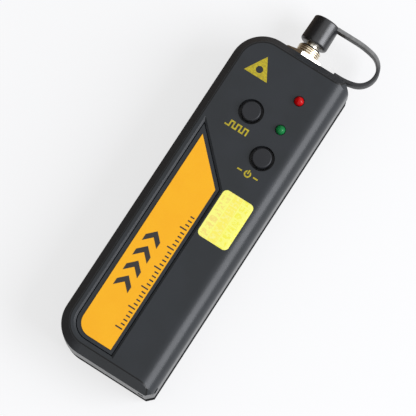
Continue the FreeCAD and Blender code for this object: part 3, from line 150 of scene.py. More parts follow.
# ---------------------------------------------------------------- finishes
@dataclass(frozen=True)
class Finish:
    """Surface whose colour, gloss and fine relief all come from noise at real sizes."""

    title: str
    colour: str
    shade: str
    roughness: tuple[float, float] = (0.4, 0.5)
    mottle: float = 9.0
    grain: float = 0.6
    relief: float = 0.004
    run: Relief = Relief.EVEN
    metallic: float = 0.0
    ior: float = 1.5
    specular: float = 0.5

    def noise(self, tree: Tree, place: Socket, size: float, detail: float = 3.0) -> Socket:
        """Noise from 0 to 1 whose features are size millimetres wide."""
        settings = {"Scale": per_mm(size), "Detail": detail, "Roughness": 0.55}
        return add_node(tree, "TexNoise", settings, {"Vector": place}).outputs["Fac"]

    def blend(self, tree: Tree, factor: Socket, first: Any, second: Any) -> Socket:
        """Mixes two colours, each a hex code or a socket, by a factor from 0 to 1."""
        settings: dict[Any, Any] = {"data_type": "RGBA"}
        links: dict[Any, Socket] = {0: factor}
        for index, colour in ((6, first), (7, second)):
            if isinstance(colour, str):
                settings[index] = linear(colour)
            else:
                links[index] = colour
        return add_node(tree, "Mix", settings, links).outputs[2]

    def ramp(self, tree: Tree, value: Socket, start: float, end: float,
             low: float = 0.0, high: float = 1.0) -> Socket:
        """Smooth step of a value from low, before start, to high, after end."""
        settings = {"interpolation_type": "SMOOTHSTEP", "From Min": start, "From Max": end,
                    "To Min": low, "To Max": high}
        return add_node(tree, "MapRange", settings, {"Value": value}).outputs["Result"]

    def within(self, tree: Tree, value: Socket, low: float, high: float, edge: float) -> Socket:
        """1 where a coordinate lies between low and high, in mm, with edges that wide."""
        rise = self.ramp(tree, value, (low - edge / 2) * MM, (low + edge / 2) * MM)
        fall = self.ramp(tree, value, (high - edge / 2) * MM, (high + edge / 2) * MM, 1.0, 0.0)
        return add_node(tree, "Math", {"operation": "MULTIPLY"}, {0: rise, 1: fall}).outputs[0]

    def paint(self, tree: Tree, place: Socket) -> Socket:
        """Colour of the surface: two close tones in soft patches."""
        patches = self.ramp(tree, self.noise(tree, place, self.mottle), *PATCH)
        return self.blend(tree, patches, self.shade, self.colour)

    def height(self, tree: Tree, place: Socket) -> Socket:
        """Height of the fine relief, from 0 to 1, stretched along the way that it runs."""
        turned = add_node(tree, "Mapping", {"Scale": self.run.value}, {"Vector": place})
        return self.noise(tree, turned.outputs["Vector"], self.grain, 2.0)

    def shader(self, shader: bpy.types.Node) -> None:
        """Sets the sockets that only this kind of finish uses."""

    def material(self) -> bpy.types.Material:
        """Builds the node material once, and returns the same one after that."""
        found = bpy.data.materials.get(self.title)
        if found:
            return found
        material = bpy.data.materials.new(self.title)
        material.use_nodes = True
        tree = material.node_tree
        tree.nodes.clear()
        place = add_node(tree, "TexCoord").outputs["Object"]
        height = self.height(tree, place)
        gloss = self.ramp(tree, self.noise(tree, place, self.mottle / 3), *GLOSS_PATCH,
                          *self.roughness)
        bump = add_node(tree, "Bump", {"Strength": 1.0, "Distance": self.relief * MM},
                        {"Height": height})
        shader = add_node(
            tree, "BsdfPrincipled",
            {"Metallic": self.metallic, "IOR": self.ior, "Specular IOR Level": self.specular},
            {"Base Color": self.paint(tree, place), "Roughness": gloss,
             "Normal": bump.outputs["Normal"]})
        self.shader(shader)
        add_node(tree, "OutputMaterial", links={"Surface": shader.outputs["BSDF"]})
        return material


@dataclass(frozen=True)
class MouldedAbs(Finish):
    """Charcoal ABS from a finely spark-eroded mould: satin, with a broad soft highlight."""

    title: str = "moulded_abs"
    colour: str = "#2C2F33"
    shade: str = "#292C2F"
    roughness: tuple[float, float] = (0.29, 0.33)
    mottle: float = 14.0
    grain: float = 0.45      # the real grain of 0.05 mm is too fine to show, so it is drawn coarser
    relief: float = 0.006
    specular: float = 0.29


@dataclass(frozen=True)
class AbsWithPaintedCreaseShade(MouldedAbs):
    """The same ABS with a near-black painted shade line where the flat face meets the sloping rim.
    """

    title: str = "abs_with_painted_crease_shade"
    # painted shade: near-black colour of the line inside the rim, standing in for the shade where
    # the face meets it
    crease: str = "#050506"
    corner_radius: float = 11.0  # of the two round left corners
    rim_width: float = 2.6       # of the sloping rim, seen from above
    rim_drop: float = 3.5        # height of that rim
    shade_line_start: float = 0.08   # from the inner edge of the rim
    shade_line_width: float = 0.5
    shade_line_edge: float = 0.1

    def paint(self, tree: Tree, place: Socket) -> Socket:
        """Paints shade as a thin dark strip inside the rim.

        The distance from the case's outline is the corner radius less the length of what is
        left of (corner x - x, |y| - corner y) above zero. The strip lies where that distance
        is a little more than the rim's own inset at the same height.
        """
        low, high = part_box("front_shell")
        radius = self.corner_radius * MM
        slope = self.rim_width / self.rim_drop
        foot = high.z - self.rim_drop * MM
        split = add_node(tree, "SeparateXYZ", links={"Vector": place})
        left = add_node(tree, "Math", {"operation": "SUBTRACT", 0: low.x + radius},
                        {1: split.outputs["X"]})
        side = add_node(tree, "Math", {"operation": "ABSOLUTE"}, {0: split.outputs["Y"]})
        beyond = add_node(tree, "Math", {"operation": "SUBTRACT", 1: high.y - radius},
                          {0: side.outputs[0]})
        past = add_node(tree, "CombineXYZ", links={"X": left.outputs[0], "Y": beyond.outputs[0]})
        kept = add_node(tree, "VectorMath", {"operation": "MAXIMUM", 1: (0.0, 0.0, 0.0)},
                        {0: past.outputs[0]})
        reach = add_node(tree, "VectorMath", {"operation": "LENGTH"}, {0: kept.outputs[0]})
        rise = add_node(tree, "Math", {"operation": "MULTIPLY_ADD", 1: slope,
                                       2: -slope * foot}, {0: split.outputs["Z"]})
        total = add_node(tree, "Math", {"operation": "ADD"},
                         {0: reach.outputs["Value"], 1: rise.outputs[0]})
        inside = add_node(tree, "Math", {"operation": "SUBTRACT", 0: radius},
                          {1: total.outputs[0]})
        painted_shade_strip = self.within(tree, inside.outputs[0], self.shade_line_start, self.shade_line_width,
                            self.shade_line_edge)
        # the painted shade line is laid over the ABS colour
        return self.blend(tree, painted_shade_strip, super().paint(tree, place), self.crease)


@dataclass(frozen=True)
class PolyesterLabel(Finish):
    """Printed polyester film: flat warm orange under a thin satin laminate."""

    title: str = "orange_polyester_film"
    colour: str = "#FFB80C"
    shade: str = "#FEB50A"
    roughness: tuple[float, float] = (0.38, 0.46)
    mottle: float = 7.0
    grain: float = 0.7
    relief: float = 0.004


@dataclass(frozen=True)
class ScreenInk(Finish):
    """Screen-printed ink: near-black, a little warmer and more matte than the case."""

    title: str = "screen_ink_black"
    colour: str = "#2B2826"
    shade: str = "#272422"
    roughness: tuple[float, float] = (0.5, 0.6)
    mottle: float = 3.0
    grain: float = 0.3
    relief: float = 0.004


@dataclass(frozen=True)
class PadInk(Finish):
    """Pad-printed yellow ink on a dark case: thin, so the dark shows through in specks."""

    title: str = "pad_ink_yellow"
    colour: str = "#C6B41C"
    shade: str = "#A59422"
    roughness: tuple[float, float] = (0.45, 0.55)
    mottle: float = 0.6
    grain: float = 0.25
    relief: float = 0.004


@dataclass(frozen=True)
class TamperFilm(Finish):
    """Bright yellow seal film: three lengthwise bands with rows of faint worn marks."""

    title: str = "yellow_seal_film"
    colour: str = "#FFFE84"
    shade: str = "#FFFC78"
    roughness: tuple[float, float] = (0.35, 0.45)
    mottle: float = 4.0
    grain: float = 0.5
    relief: float = 0.003
    band: str = "#FFF266"
    band_low: float = 6.8
    band_high: float = 9.8
    left_mark: str = "#F9DA78"
    band_mark: str = "#FFFA96"
    right_mark: str = "#F8F03A"
    mark_length: float = 2.45    # of each mark with its gap, along the film
    mark_width: float = 3.3
    mark_gap: float = 0.7
    blotch: float = 0.75
    blotch_limits: tuple[float, float] = (0.42, 0.58)
    strongest: float = 0.75      # share of a mark's colour where it is least worn
    band_edge: float = 0.3
    side_edge: float = 0.2
    unit: float = 10.0           # scale of the brick pattern, which takes sizes of about 1

    def paint(self, tree: Tree, place: Socket) -> Socket:
        """Yellow film with a deeper middle band; each band has marks of its own colour."""
        ground = super().paint(tree, place)
        across = add_node(tree, "SeparateXYZ", links={"Vector": place}).outputs["X"]
        band = self.within(tree, across, self.band_low, self.band_high, self.band_edge)
        right = self.ramp(tree, across, (self.band_high - self.side_edge / 2) * MM,
                          (self.band_high + self.side_edge / 2) * MM)
        mark = self.blend(tree, band, self.left_mark, self.band_mark)
        mark = self.blend(tree, right, mark, self.right_mark)
        rows = add_node(tree, "TexBrick", {
            "offset": 0.0, "Scale": per_mm(self.unit),
            "Mortar Size": self.mark_gap / self.unit / 2, "Mortar Smooth": 0.3,
            "Brick Width": self.mark_width / self.unit,
            "Row Height": self.mark_length / self.unit, "Color1": (1, 1, 1, 1),
            "Color2": (1, 1, 1, 1), "Mortar": (0, 0, 0, 1)}, {"Vector": place})
        tone_share = self.ramp(tree, self.noise(tree, place, self.blotch), *self.blotch_limits,
                         0.0, self.strongest)
        faint = add_node(tree, "Math", {"operation": "MULTIPLY"},
                         {0: rows.outputs["Color"], 1: tone_share}).outputs[0]
        return self.blend(tree, faint, self.blend(tree, band, ground, self.band), mark)


@dataclass(frozen=True)
class MouldedButton(Finish):
    """Black ABS push button: finer grained than the case, with a thin glint on its edge."""

    title: str = "moulded_button"
    colour: str = "#2B2C2F"
    shade: str = "#28292C"
    roughness: tuple[float, float] = (0.32, 0.38)
    mottle: float = 5.0
    grain: float = 0.4
    relief: float = 0.004
    specular: float = 0.22


@dataclass(frozen=True)
class EpoxyLens(Finish):
    """Tinted LED epoxy on tinned leads: deep glassy colour with a small sharp glint."""

    roughness: tuple[float, float] = (0.08, 0.14)
    mottle: float = 2.0
    grain: float = 1.0
    relief: float = 0.001
    ior: float = 1.55
    specular: float = 0.15
    lead: str = "#B9BBBD"
    flange: float = 17.0
    flange_edge: float = 0.1

    def paint(self, tree: Tree, place: Socket) -> Socket:
        """Lens colour above the flange, tin grey on the leads below it."""
        up = add_node(tree, "SeparateXYZ", links={"Vector": place}).outputs["Z"]
        above = self.ramp(tree, up, self.flange * MM, (self.flange + self.flange_edge) * MM)
        return self.blend(tree, above, self.lead, super().paint(tree, place))


@dataclass(frozen=True)
class Metal(Finish):
    """Bare or plated metal: coloured reflection, with fine lines left by the tool."""

    roughness: tuple[float, float] = (0.22, 0.32)
    mottle: float = 3.0
    grain: float = 0.25
    relief: float = 0.003
    metallic: float = 1.0


@dataclass(frozen=True)
class PlatedThread(Metal):
    """Nickel plate with painted shade in the roots of the thread, browner towards the root, so each
    turn stands out.
    """

    run: Relief = Relief.ROUND_Y
    # painted shade: brown tone laid in the thread roots
    root_shade: str = "#AC9468"
    axis_z: float = 10.0
    root: float = 3.7
    crest: float = 3.9
    start: float = 55.0
    end: float = 64.9
    cut_edge: float = 0.1

    def paint(self, tree: Tree, place: Socket) -> Socket:
        """Plating darkened by painted shade towards the root, by the distance from the thread's
        axis.
        """
        offset = add_node(tree, "VectorMath", {"operation": "SUBTRACT",
                                               1: (0.0, 0.0, self.axis_z * MM)}, {0: place})
        across = add_node(tree, "VectorMath", {"operation": "MULTIPLY", 1: (1.0, 0.0, 1.0)},
                          {0: offset.outputs[0]})
        radius = add_node(tree, "VectorMath", {"operation": "LENGTH"}, {0: across.outputs[0]})
        low = self.ramp(tree, radius.outputs["Value"], self.root * MM, self.crest * MM, 1.0, 0.0)
        along = add_node(tree, "SeparateXYZ", links={"Vector": place}).outputs["Y"]
        cut = self.within(tree, along, self.start, self.end, self.cut_edge)
        tone_share = add_node(tree, "Math", {"operation": "MULTIPLY"}, {0: low, 1: cut}).outputs[0]
        return self.blend(tree, tone_share, super().paint(tree, place), self.root_shade)


@dataclass(frozen=True)
class Rubber(Finish):
    """Moulded black elastomer: dark satin with a wide, low highlight."""

    title: str = "moulded_rubber"
    colour: str = "#1C1D20"
    shade: str = "#191A1D"
    roughness: tuple[float, float] = (0.28, 0.33)
    mottle: float = 4.0
    grain: float = 0.5
    relief: float = 0.004
    specular: float = 0.68


@dataclass(frozen=True)
class RubberWithPaintedSheen(Rubber):
    """Elastomer band with a pale painted sheen along its upper edge, in streaks, that fades round
    the loop.
    """

    title: str = "rubber_with_painted_sheen"
    roughness: tuple[float, float] = (0.4, 0.48)
    specular: float = 0.26
    # painted sheen: pale tone that stands in for light on the band's upper edge
    painted_sheen: str = "#939392"
    height_low: float = 11.4
    height_high: float = 11.95
    streak: float = 1.6
    sheen_faint_below: float = 69.0     # on y, where hardly any painted sheen is left
    sheen_full_above: float = 75.4
    sheen_faint_share: float = 0.12
    streak_limits: tuple[float, float] = (0.3, 0.7)
    thinnest: float = 0.7        # share of the painted sheen in its thin streaks

    def paint(self, tree: Tree, place: Socket) -> Socket:
        """Dark rubber below, a pale streaky painted sheen on top."""
        split = add_node(tree, "SeparateXYZ", links={"Vector": place})
        top = self.ramp(tree, split.outputs["Z"], self.height_low * MM, self.height_high * MM)
        left = self.ramp(tree, split.outputs["Y"], self.sheen_faint_below * MM, self.sheen_full_above * MM,
                         self.sheen_faint_share, 1.0)
        patchy = self.ramp(tree, self.noise(tree, place, self.streak), *self.streak_limits,
                           self.thinnest, 1.0)
        sheen_cover = add_node(tree, "Math", {"operation": "MULTIPLY"}, {0: top, 1: patchy}).outputs[0]
        kept = add_node(tree, "Math", {"operation": "MULTIPLY"}, {0: sheen_cover, 1: left}).outputs[0]
        return self.blend(tree, kept, super().paint(tree, place), self.painted_sheen)


@dataclass(frozen=True)
class CellJacket(Finish):
    """Printed jacket of a dry cell: plain slate blue with a lighter ring, bare steel ends."""

    title: str = "cell_jacket"
    colour: str = "#5F6B78"
    shade: str = "#596471"
    roughness: tuple[float, float] = (0.28, 0.36)
    mottle: float = 6.0
    grain: float = 0.8
    relief: float = 0.003
    ring: str = "#C9CCCE"
    middle: float = -24.9
    half_ring: float = 2.5
    ring_edge: float = 0.1

    def paint(self, tree: Tree, place: Socket) -> Socket:
        """Slate jacket with one pale ring round its middle."""
        along = add_node(tree, "SeparateXYZ", links={"Vector": place}).outputs["Y"]
        ring = self.within(tree, along, self.middle - self.half_ring,
                           self.middle + self.half_ring, self.ring_edge)
        return self.blend(tree, ring, super().paint(tree, place), self.ring)


@dataclass(frozen=True)
class BoardLaminate(Finish):
    """Glass-epoxy board under green solder mask, with raised tracks."""

    title: str = "solder_mask_green"
    colour: str = "#1F6E3E"
    shade: str = "#195C33"
    roughness: tuple[float, float] = (0.25, 0.35)
    track: float = 2.4
    track_gap: float = 0.08      # share of a track between two of them

    def height(self, tree: Tree, place: Socket) -> Socket:
        """Tracks as the borders of a brick pattern."""
        tracks = add_node(tree, "TexBrick", {"Scale": per_mm(self.track),
                                             "Mortar Size": self.track_gap,
                                             "Mortar Smooth": 0.2}, {"Vector": place})
        return tracks.outputs["Fac"]


@dataclass(frozen=True)
class OpticalGlass(Finish):
    """Polished lens glass: clear, with a faint cool tint."""

    title: str = "optical_glass"
    colour: str = "#EAF2F5"
    shade: str = "#E4EEF2"
    roughness: tuple[float, float] = (0.02, 0.05)
    mottle: float = 3.0
    grain: float = 1.0
    relief: float = 0.0005
    ior: float = 1.52
    clearness: float = 0.9

    def shader(self, shader: bpy.types.Node) -> None:
        """Makes the glass clear."""
        shader.inputs["Transmission Weight"].default_value = self.clearness


# Front shell: the case ABS with a painted shade line inside its rim.
CASE_ABS = AbsWithPaintedCreaseShade()
# Coarsely spark-eroded ABS that scatters nearly all light; its colour, far darker than the front
# shell's, is painted shade for the shaded band under the seam and keeps the back black.
BACK_ABS_PAINTED_SHADE = MouldedAbs("coarse_back_abs_painted_shade", "#131415", "#101112", (0.85, 0.95), specular=0.05)
# Tinted epoxy over an unlit die: saturated and dark.
RED_LENS = EpoxyLens("red_epoxy", "#C40208", "#AE0207")
GREEN_LENS = EpoxyLens("green_epoxy", "#10783C", "#0E6A34")
# Bright nickel: a warm white that mirrors its surroundings in soft stretches.
NICKEL = Metal("nickel_plated_brass", "#FCF6EA", "#F6EEDE", (0.14, 0.2), run=Relief.ROUND_Y)
# thread plating with painted shade in its roots
THREAD_NICKEL = PlatedThread("plated_thread", "#FCF6EA", "#F4EBD8", (0.22, 0.28))
# Yellow brass with fine turned rings.
BRASS = Metal("turned_brass", "#D2AC5A", "#C79F4C", run=Relief.ROUND_Y)
# Zinc over rolled steel: greyer and duller than nickel.
ZINC_STEEL = Metal("zinc_plated_steel", "#B8BABC", "#A9ABAE", (0.28, 0.4), run=Relief.ROUND_Z)
# Plated spring strip, with drawing lines along it.
SPRING_STEEL = Metal("nickel_plated_spring", "#C6C8C7", "#B9BBBA", (0.2, 0.3), run=Relief.ALONG_Y)
# Thin gold over a pressed header: warm and bright.
GOLD_PLATE = Metal("gold_plated_header", "#E0B954", "#D6AE4A", (0.15, 0.22))
# Ground ceramic: milky white under a glassy surface.
ZIRCONIA = Finish("ground_zirconia", "#F3F1EB", "#EDEAE2", (0.12, 0.2), 3.0, 0.4, 0.001)
# Glass-filled nylon, black and natural: matte and even.
BLACK_PART = Finish("black_moulding", "#1F2022", "#1A1B1C", (0.4, 0.5), 2.0, 0.3, 0.004)
WHITE_PART = Finish("white_nylon", "#E2E4E6", "#DADCDF", (0.4, 0.5), 2.0, 0.3, 0.003)
# Fired and glazed chips: dark brown with a low gloss.
CHIP_CERAMIC = Finish("fired_chip_ceramic", "#3C3733", "#322E2B", (0.3, 0.4), 0.8, 0.2, 0.003)
# Extruded PVC: plain colour with a soft gloss.
RED_PVC = Finish("red_pvc_insulation", "#B5201F", "#A81B1B", (0.35, 0.45), 4.0, 0.8, 0.003)
BLACK_PVC = Finish("black_pvc_insulation", "#232325", "#1E1E20", (0.35, 0.45), 4.0, 0.8, 0.003)


# ---------------------------------------------------------------- shapes
def surface(name: str, grid: np.ndarray, finish: Finish, looped: bool = False,
            crease: float = 32.0) -> bpy.types.Object:
    """Closed mesh over a grid of points, whose columns go round and join up.

    The rows either join up as well, as on a ring, or each end row is closed by a fan to its
    mean point. A negative enclosed volume, the sum of each face's height times its area on
    z = 0, shows that the faces point inwards, and they are then turned over.

    Args:
        name: name of the object and its mesh.
        grid: rows x columns x 3 array of points in mm.
        finish: what the piece is made of.
        looped: whether the last row joins the first.
        crease: edges sharper than this many degrees stay sharp.

    Returns:
        The object, at the origin, with its place in its mesh.
    """
    rows, columns = grid.shape[:2]
    index = np.arange(rows * columns).reshape(rows, columns)
    low = index if looped else index[:-1]
    high = np.roll(index, -1, 0) if looped else index[1:]
    quads = np.stack([low, np.roll(low, -1, 1), np.roll(high, -1, 1), high], -1).reshape(-1, 4)
    points = grid.reshape(-1, 3)
    faces = quads.tolist()
    if not looped:
        points = np.vstack([points, grid[0].mean(0), grid[-1].mean(0)])
        poles = (np.full(columns, rows * columns), np.full(columns, rows * columns + 1))
        ends = ((np.roll(index[0], -1), index[0], poles[0]),
                (index[-1], np.roll(index[-1], -1), poles[1]))
        for fan in ends:
            faces += np.stack(fan, -1).tolist()
    mesh = bpy.data.meshes.new(name)
    mesh.from_pydata((points * MM).tolist(), [], faces)
    corners = points[quads]
    volume = np.einsum("ij,ij->", corners[:, 0] + corners[:, 1] + corners[:, 2] + corners[:, 3],
                       np.cross(corners[:, 2] - corners[:, 0], corners[:, 3] - corners[:, 1]))
    if volume < 0:
        mesh.flip_normals()
    mesh.shade_smooth()
    mesh.set_sharp_from_angle(angle=math.radians(crease))
    mesh.materials.append(finish.material())
    piece = bpy.data.objects.new(name, mesh)
    bpy.context.scene.collection.objects.link(piece)
    return piece


def rounded_section(low: np.ndarray, high: np.ndarray, half_width: float, radius: float,
                    steps: int = 5) -> tuple[np.ndarray, np.ndarray]:
    """Rounded rectangle at each station: four quarter circles joined by straight sides.

    Args:
        low: lower side of the section at each station.
        high: upper side at each station.
        half_width: half of the section's width.
        radius: corner radius.
        steps: points on each corner.

    Returns:
        Two arrays, stations x points: place between low and high, and place across the width.
    """
    turn = np.linspace(0.0, math.pi / 2, steps)
    angles = np.concatenate([turn + quarter * math.pi / 2 for quarter in range(4)])
    diagonals = np.repeat(np.arange(4) * math.pi / 2 + math.pi / 4, steps)
    side, across = np.sign(np.cos(diagonals)), np.sign(np.sin(diagonals))
    middle, half = (low + high)[:, None] / 2, (high - low)[:, None] / 2
    up = middle + side * (half - radius) + radius * np.cos(angles)
    wide = np.broadcast_to(across * (half_width - radius) + radius * np.sin(angles), up.shape)
    return up, wide


def dress(finish: Finish, *nodes: str) -> None:
    """Gives construction nodes their material.

    Args:
        finish: what the nodes are made of.
        nodes: names of the nodes.
    """
    for name in nodes:
        for material_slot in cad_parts[name].material_slots:
            material_slot.material = finish.material()
        LOG.info("dressed %s in %s", name, finish.title)


def settle(piece: bpy.types.Object, body: Body, material_slot: str, *nodes: str) -> None:
    """Lets a new piece ride on a body, in place of construction nodes.

    Args:
        piece: the piece.
        body: the body that it moves with.
        material_slot: not used.
        nodes: nodes that it stands for.
    """
    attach(piece, body.value)
    if nodes:
        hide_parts(*nodes)
    LOG.info("built %s on %s", piece.name, body.value)


# ---------------------------------------------------------------- sub-assemblies
@dataclass
class Case:
    """Front shell, back shell, battery door and their screws."""

    def build(self) -> None:
        """Dresses the moulded shells and the screws."""
        dress(CASE_ABS, "front_shell")
        # back shell and battery door take painted shade: a far darker copy of the case ABS
        dress(BACK_ABS_PAINTED_SHADE, "back_shell", "battery_door")
        dress(ZINC_STEEL, "case_screws")


@dataclass
class FacePrint:
    """Label, prints and seal sticker on the front face."""

    def build(self) -> None:
        """Dresses the films and the inks."""
        dress(PolyesterLabel(), "face_label")
        dress(ScreenInk(), "label_print")
        dress(PadInk(), "panel_print")
        dress(TamperFilm(), "inspection_sticker")


@dataclass
class Controls:
    """Push buttons, their switches and the indicator lights."""

    def build(self) -> None:
        """Dresses buttons, switches and lights."""
        dress(MouldedButton(), "mod_button", "pwr_button")
        dress(BLACK_PART, "mod_switch_base", "pwr_switch_base")
        dress(WHITE_PART, "mod_switch_plunger", "pwr_switch_plunger")
        dress(RED_LENS, "red_led")
        dress(GREEN_LENS, "green_led")


@dataclass
class Electronics:
    """Circuit board and what is soldered or screwed to it."""

    def build(self) -> None:
        """Dresses the board and its parts."""
        dress(BoardLaminate(), "circuit_board")
        dress(ZINC_STEEL, "board_screws", "filter_capacitor")
        dress(BLACK_PART, "driver_chip")
        dress(WHITE_PART, "trimmer")
        dress(CHIP_CERAMIC, "chip_resistors")


@dataclass
class PowerSupply:
    """Two cells, their contacts and the wires to the board."""

    def build(self) -> None:
        """Dresses cells, contacts and wires."""
        dress(CellJacket(), "left_cell", "right_cell")
        dress(SPRING_STEEL, "positive_contact", "negative_contact", "bridge_contact")
        dress(RED_PVC, "battery_wire_red", "laser_wire_red")
        dress(BLACK_PVC, "battery_wire_black", "laser_wire_black")


@dataclass
class OpticalPort:
    """Threaded adapter in the end wall, with the laser behind it."""

    axis_z: float = 10.0
    shank_radius: float = 3.5
    shank_length: float = 5.0
    shoulder_radius: float = 5.75
    shoulder_thickness: float = 1.6
    barrel_radius: float = 4.0
    barrel_end: float = 6.9      # below the end of the neck
    barrel_chamfer: float = 0.7
    neck_radius: float = 2.3
    neck_chamfer: float = 0.2
    bore_radius: float = 1.62
    bore_depth: float = 11.4
    light_hole_radius: float = 1.1
    thread_pitch: float = 0.75
    thread_depth: float = 0.34
    thread_crest: float = 0.35   # share of a pitch that the flat crest takes
    thread_margin: float = 0.02  # plain barrel at each end of the thread
    thread_rows: int = 170
    facets: int = 96

    def profile(self) -> tuple[np.ndarray, np.ndarray, np.ndarray]:
        """Closed outline of the adapter's turned wall, from the back round to the bore.

        Returns:
            Places along the axis, radii, and 1 where the thread is cut, 0 elsewhere.
        """
        low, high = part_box("connector_body")
        back, end = low.y / MM, high.y / MM
        shoulder = back + self.shank_length
        front = shoulder + self.shoulder_thickness
        barrel_end = end - self.barrel_end
        chamfer = barrel_end - self.barrel_chamfer
        thread = np.linspace(front + self.thread_margin, chamfer - self.thread_margin,
                             self.thread_rows)
        floor = end - self.bore_depth
        head = [(back, self.light_hole_radius), (back, self.shank_radius),
                (shoulder, self.shank_radius), (shoulder, self.shoulder_radius),
                (front, self.shoulder_radius), (front, self.barrel_radius)]
        tail = [(chamfer, self.barrel_radius), (barrel_end, self.barrel_radius
                                                - self.barrel_chamfer),
                (barrel_end, self.neck_radius), (end - self.neck_chamfer, self.neck_radius),
                (end, self.neck_radius - self.neck_chamfer), (end, self.bore_radius),
                (floor, self.bore_radius), (floor, self.light_hole_radius)]
        along = np.concatenate([[p[0] for p in head], thread, [p[0] for p in tail]])
        radius = np.concatenate([[p[1] for p in head], np.full(thread.size, self.barrel_radius),
                                 [p[1] for p in tail]])
        cut = np.zeros(along.size)
        cut[len(head):-len(tail)] = 1.0
        return along, radius, cut

    def adapter(self) -> bpy.types.Object:
        """Surface of revolution whose radius drops along a helix.

        The depth follows a triangle wave of place / pitch - angle / full turn, cut flat at the
        crest.
        """
        along, radius, cut = self.profile()
        angle = np.linspace(0.0, 2 * math.pi, self.facets, endpoint=False)
        phase = (along[:, None] / self.thread_pitch - angle / (2 * math.pi)) % 1.0
        slope = np.abs(2 * phase - 1)
        groove = 1 - np.clip(slope / (1 - self.thread_crest), 0.0, 1.0)
        reach = radius[:, None] - self.thread_depth * groove * cut[:, None]
        grid = np.stack([reach * np.cos(angle), np.broadcast_to(along[:, None], reach.shape),
                         self.axis_z + reach * np.sin(angle)], -1)
        return surface("threaded_adapter", grid, THREAD_NICKEL, looped=True)

    def build(self) -> None:
        """Builds the threaded adapter and dresses the rest of the port."""
        settle(self.adapter(), Body.HOUSING, "nickel", "connector_body")
        dress(NICKEL, "connector_nut")
        dress(ZINC_STEEL, "lock_washer")
        dress(ZIRCONIA, "ceramic_sleeve")
        dress(BRASS, "laser_holder", "lens_retainer")
        dress(GOLD_PLATE, "laser_diode")
        dress(OpticalGlass(), "focusing_lens")


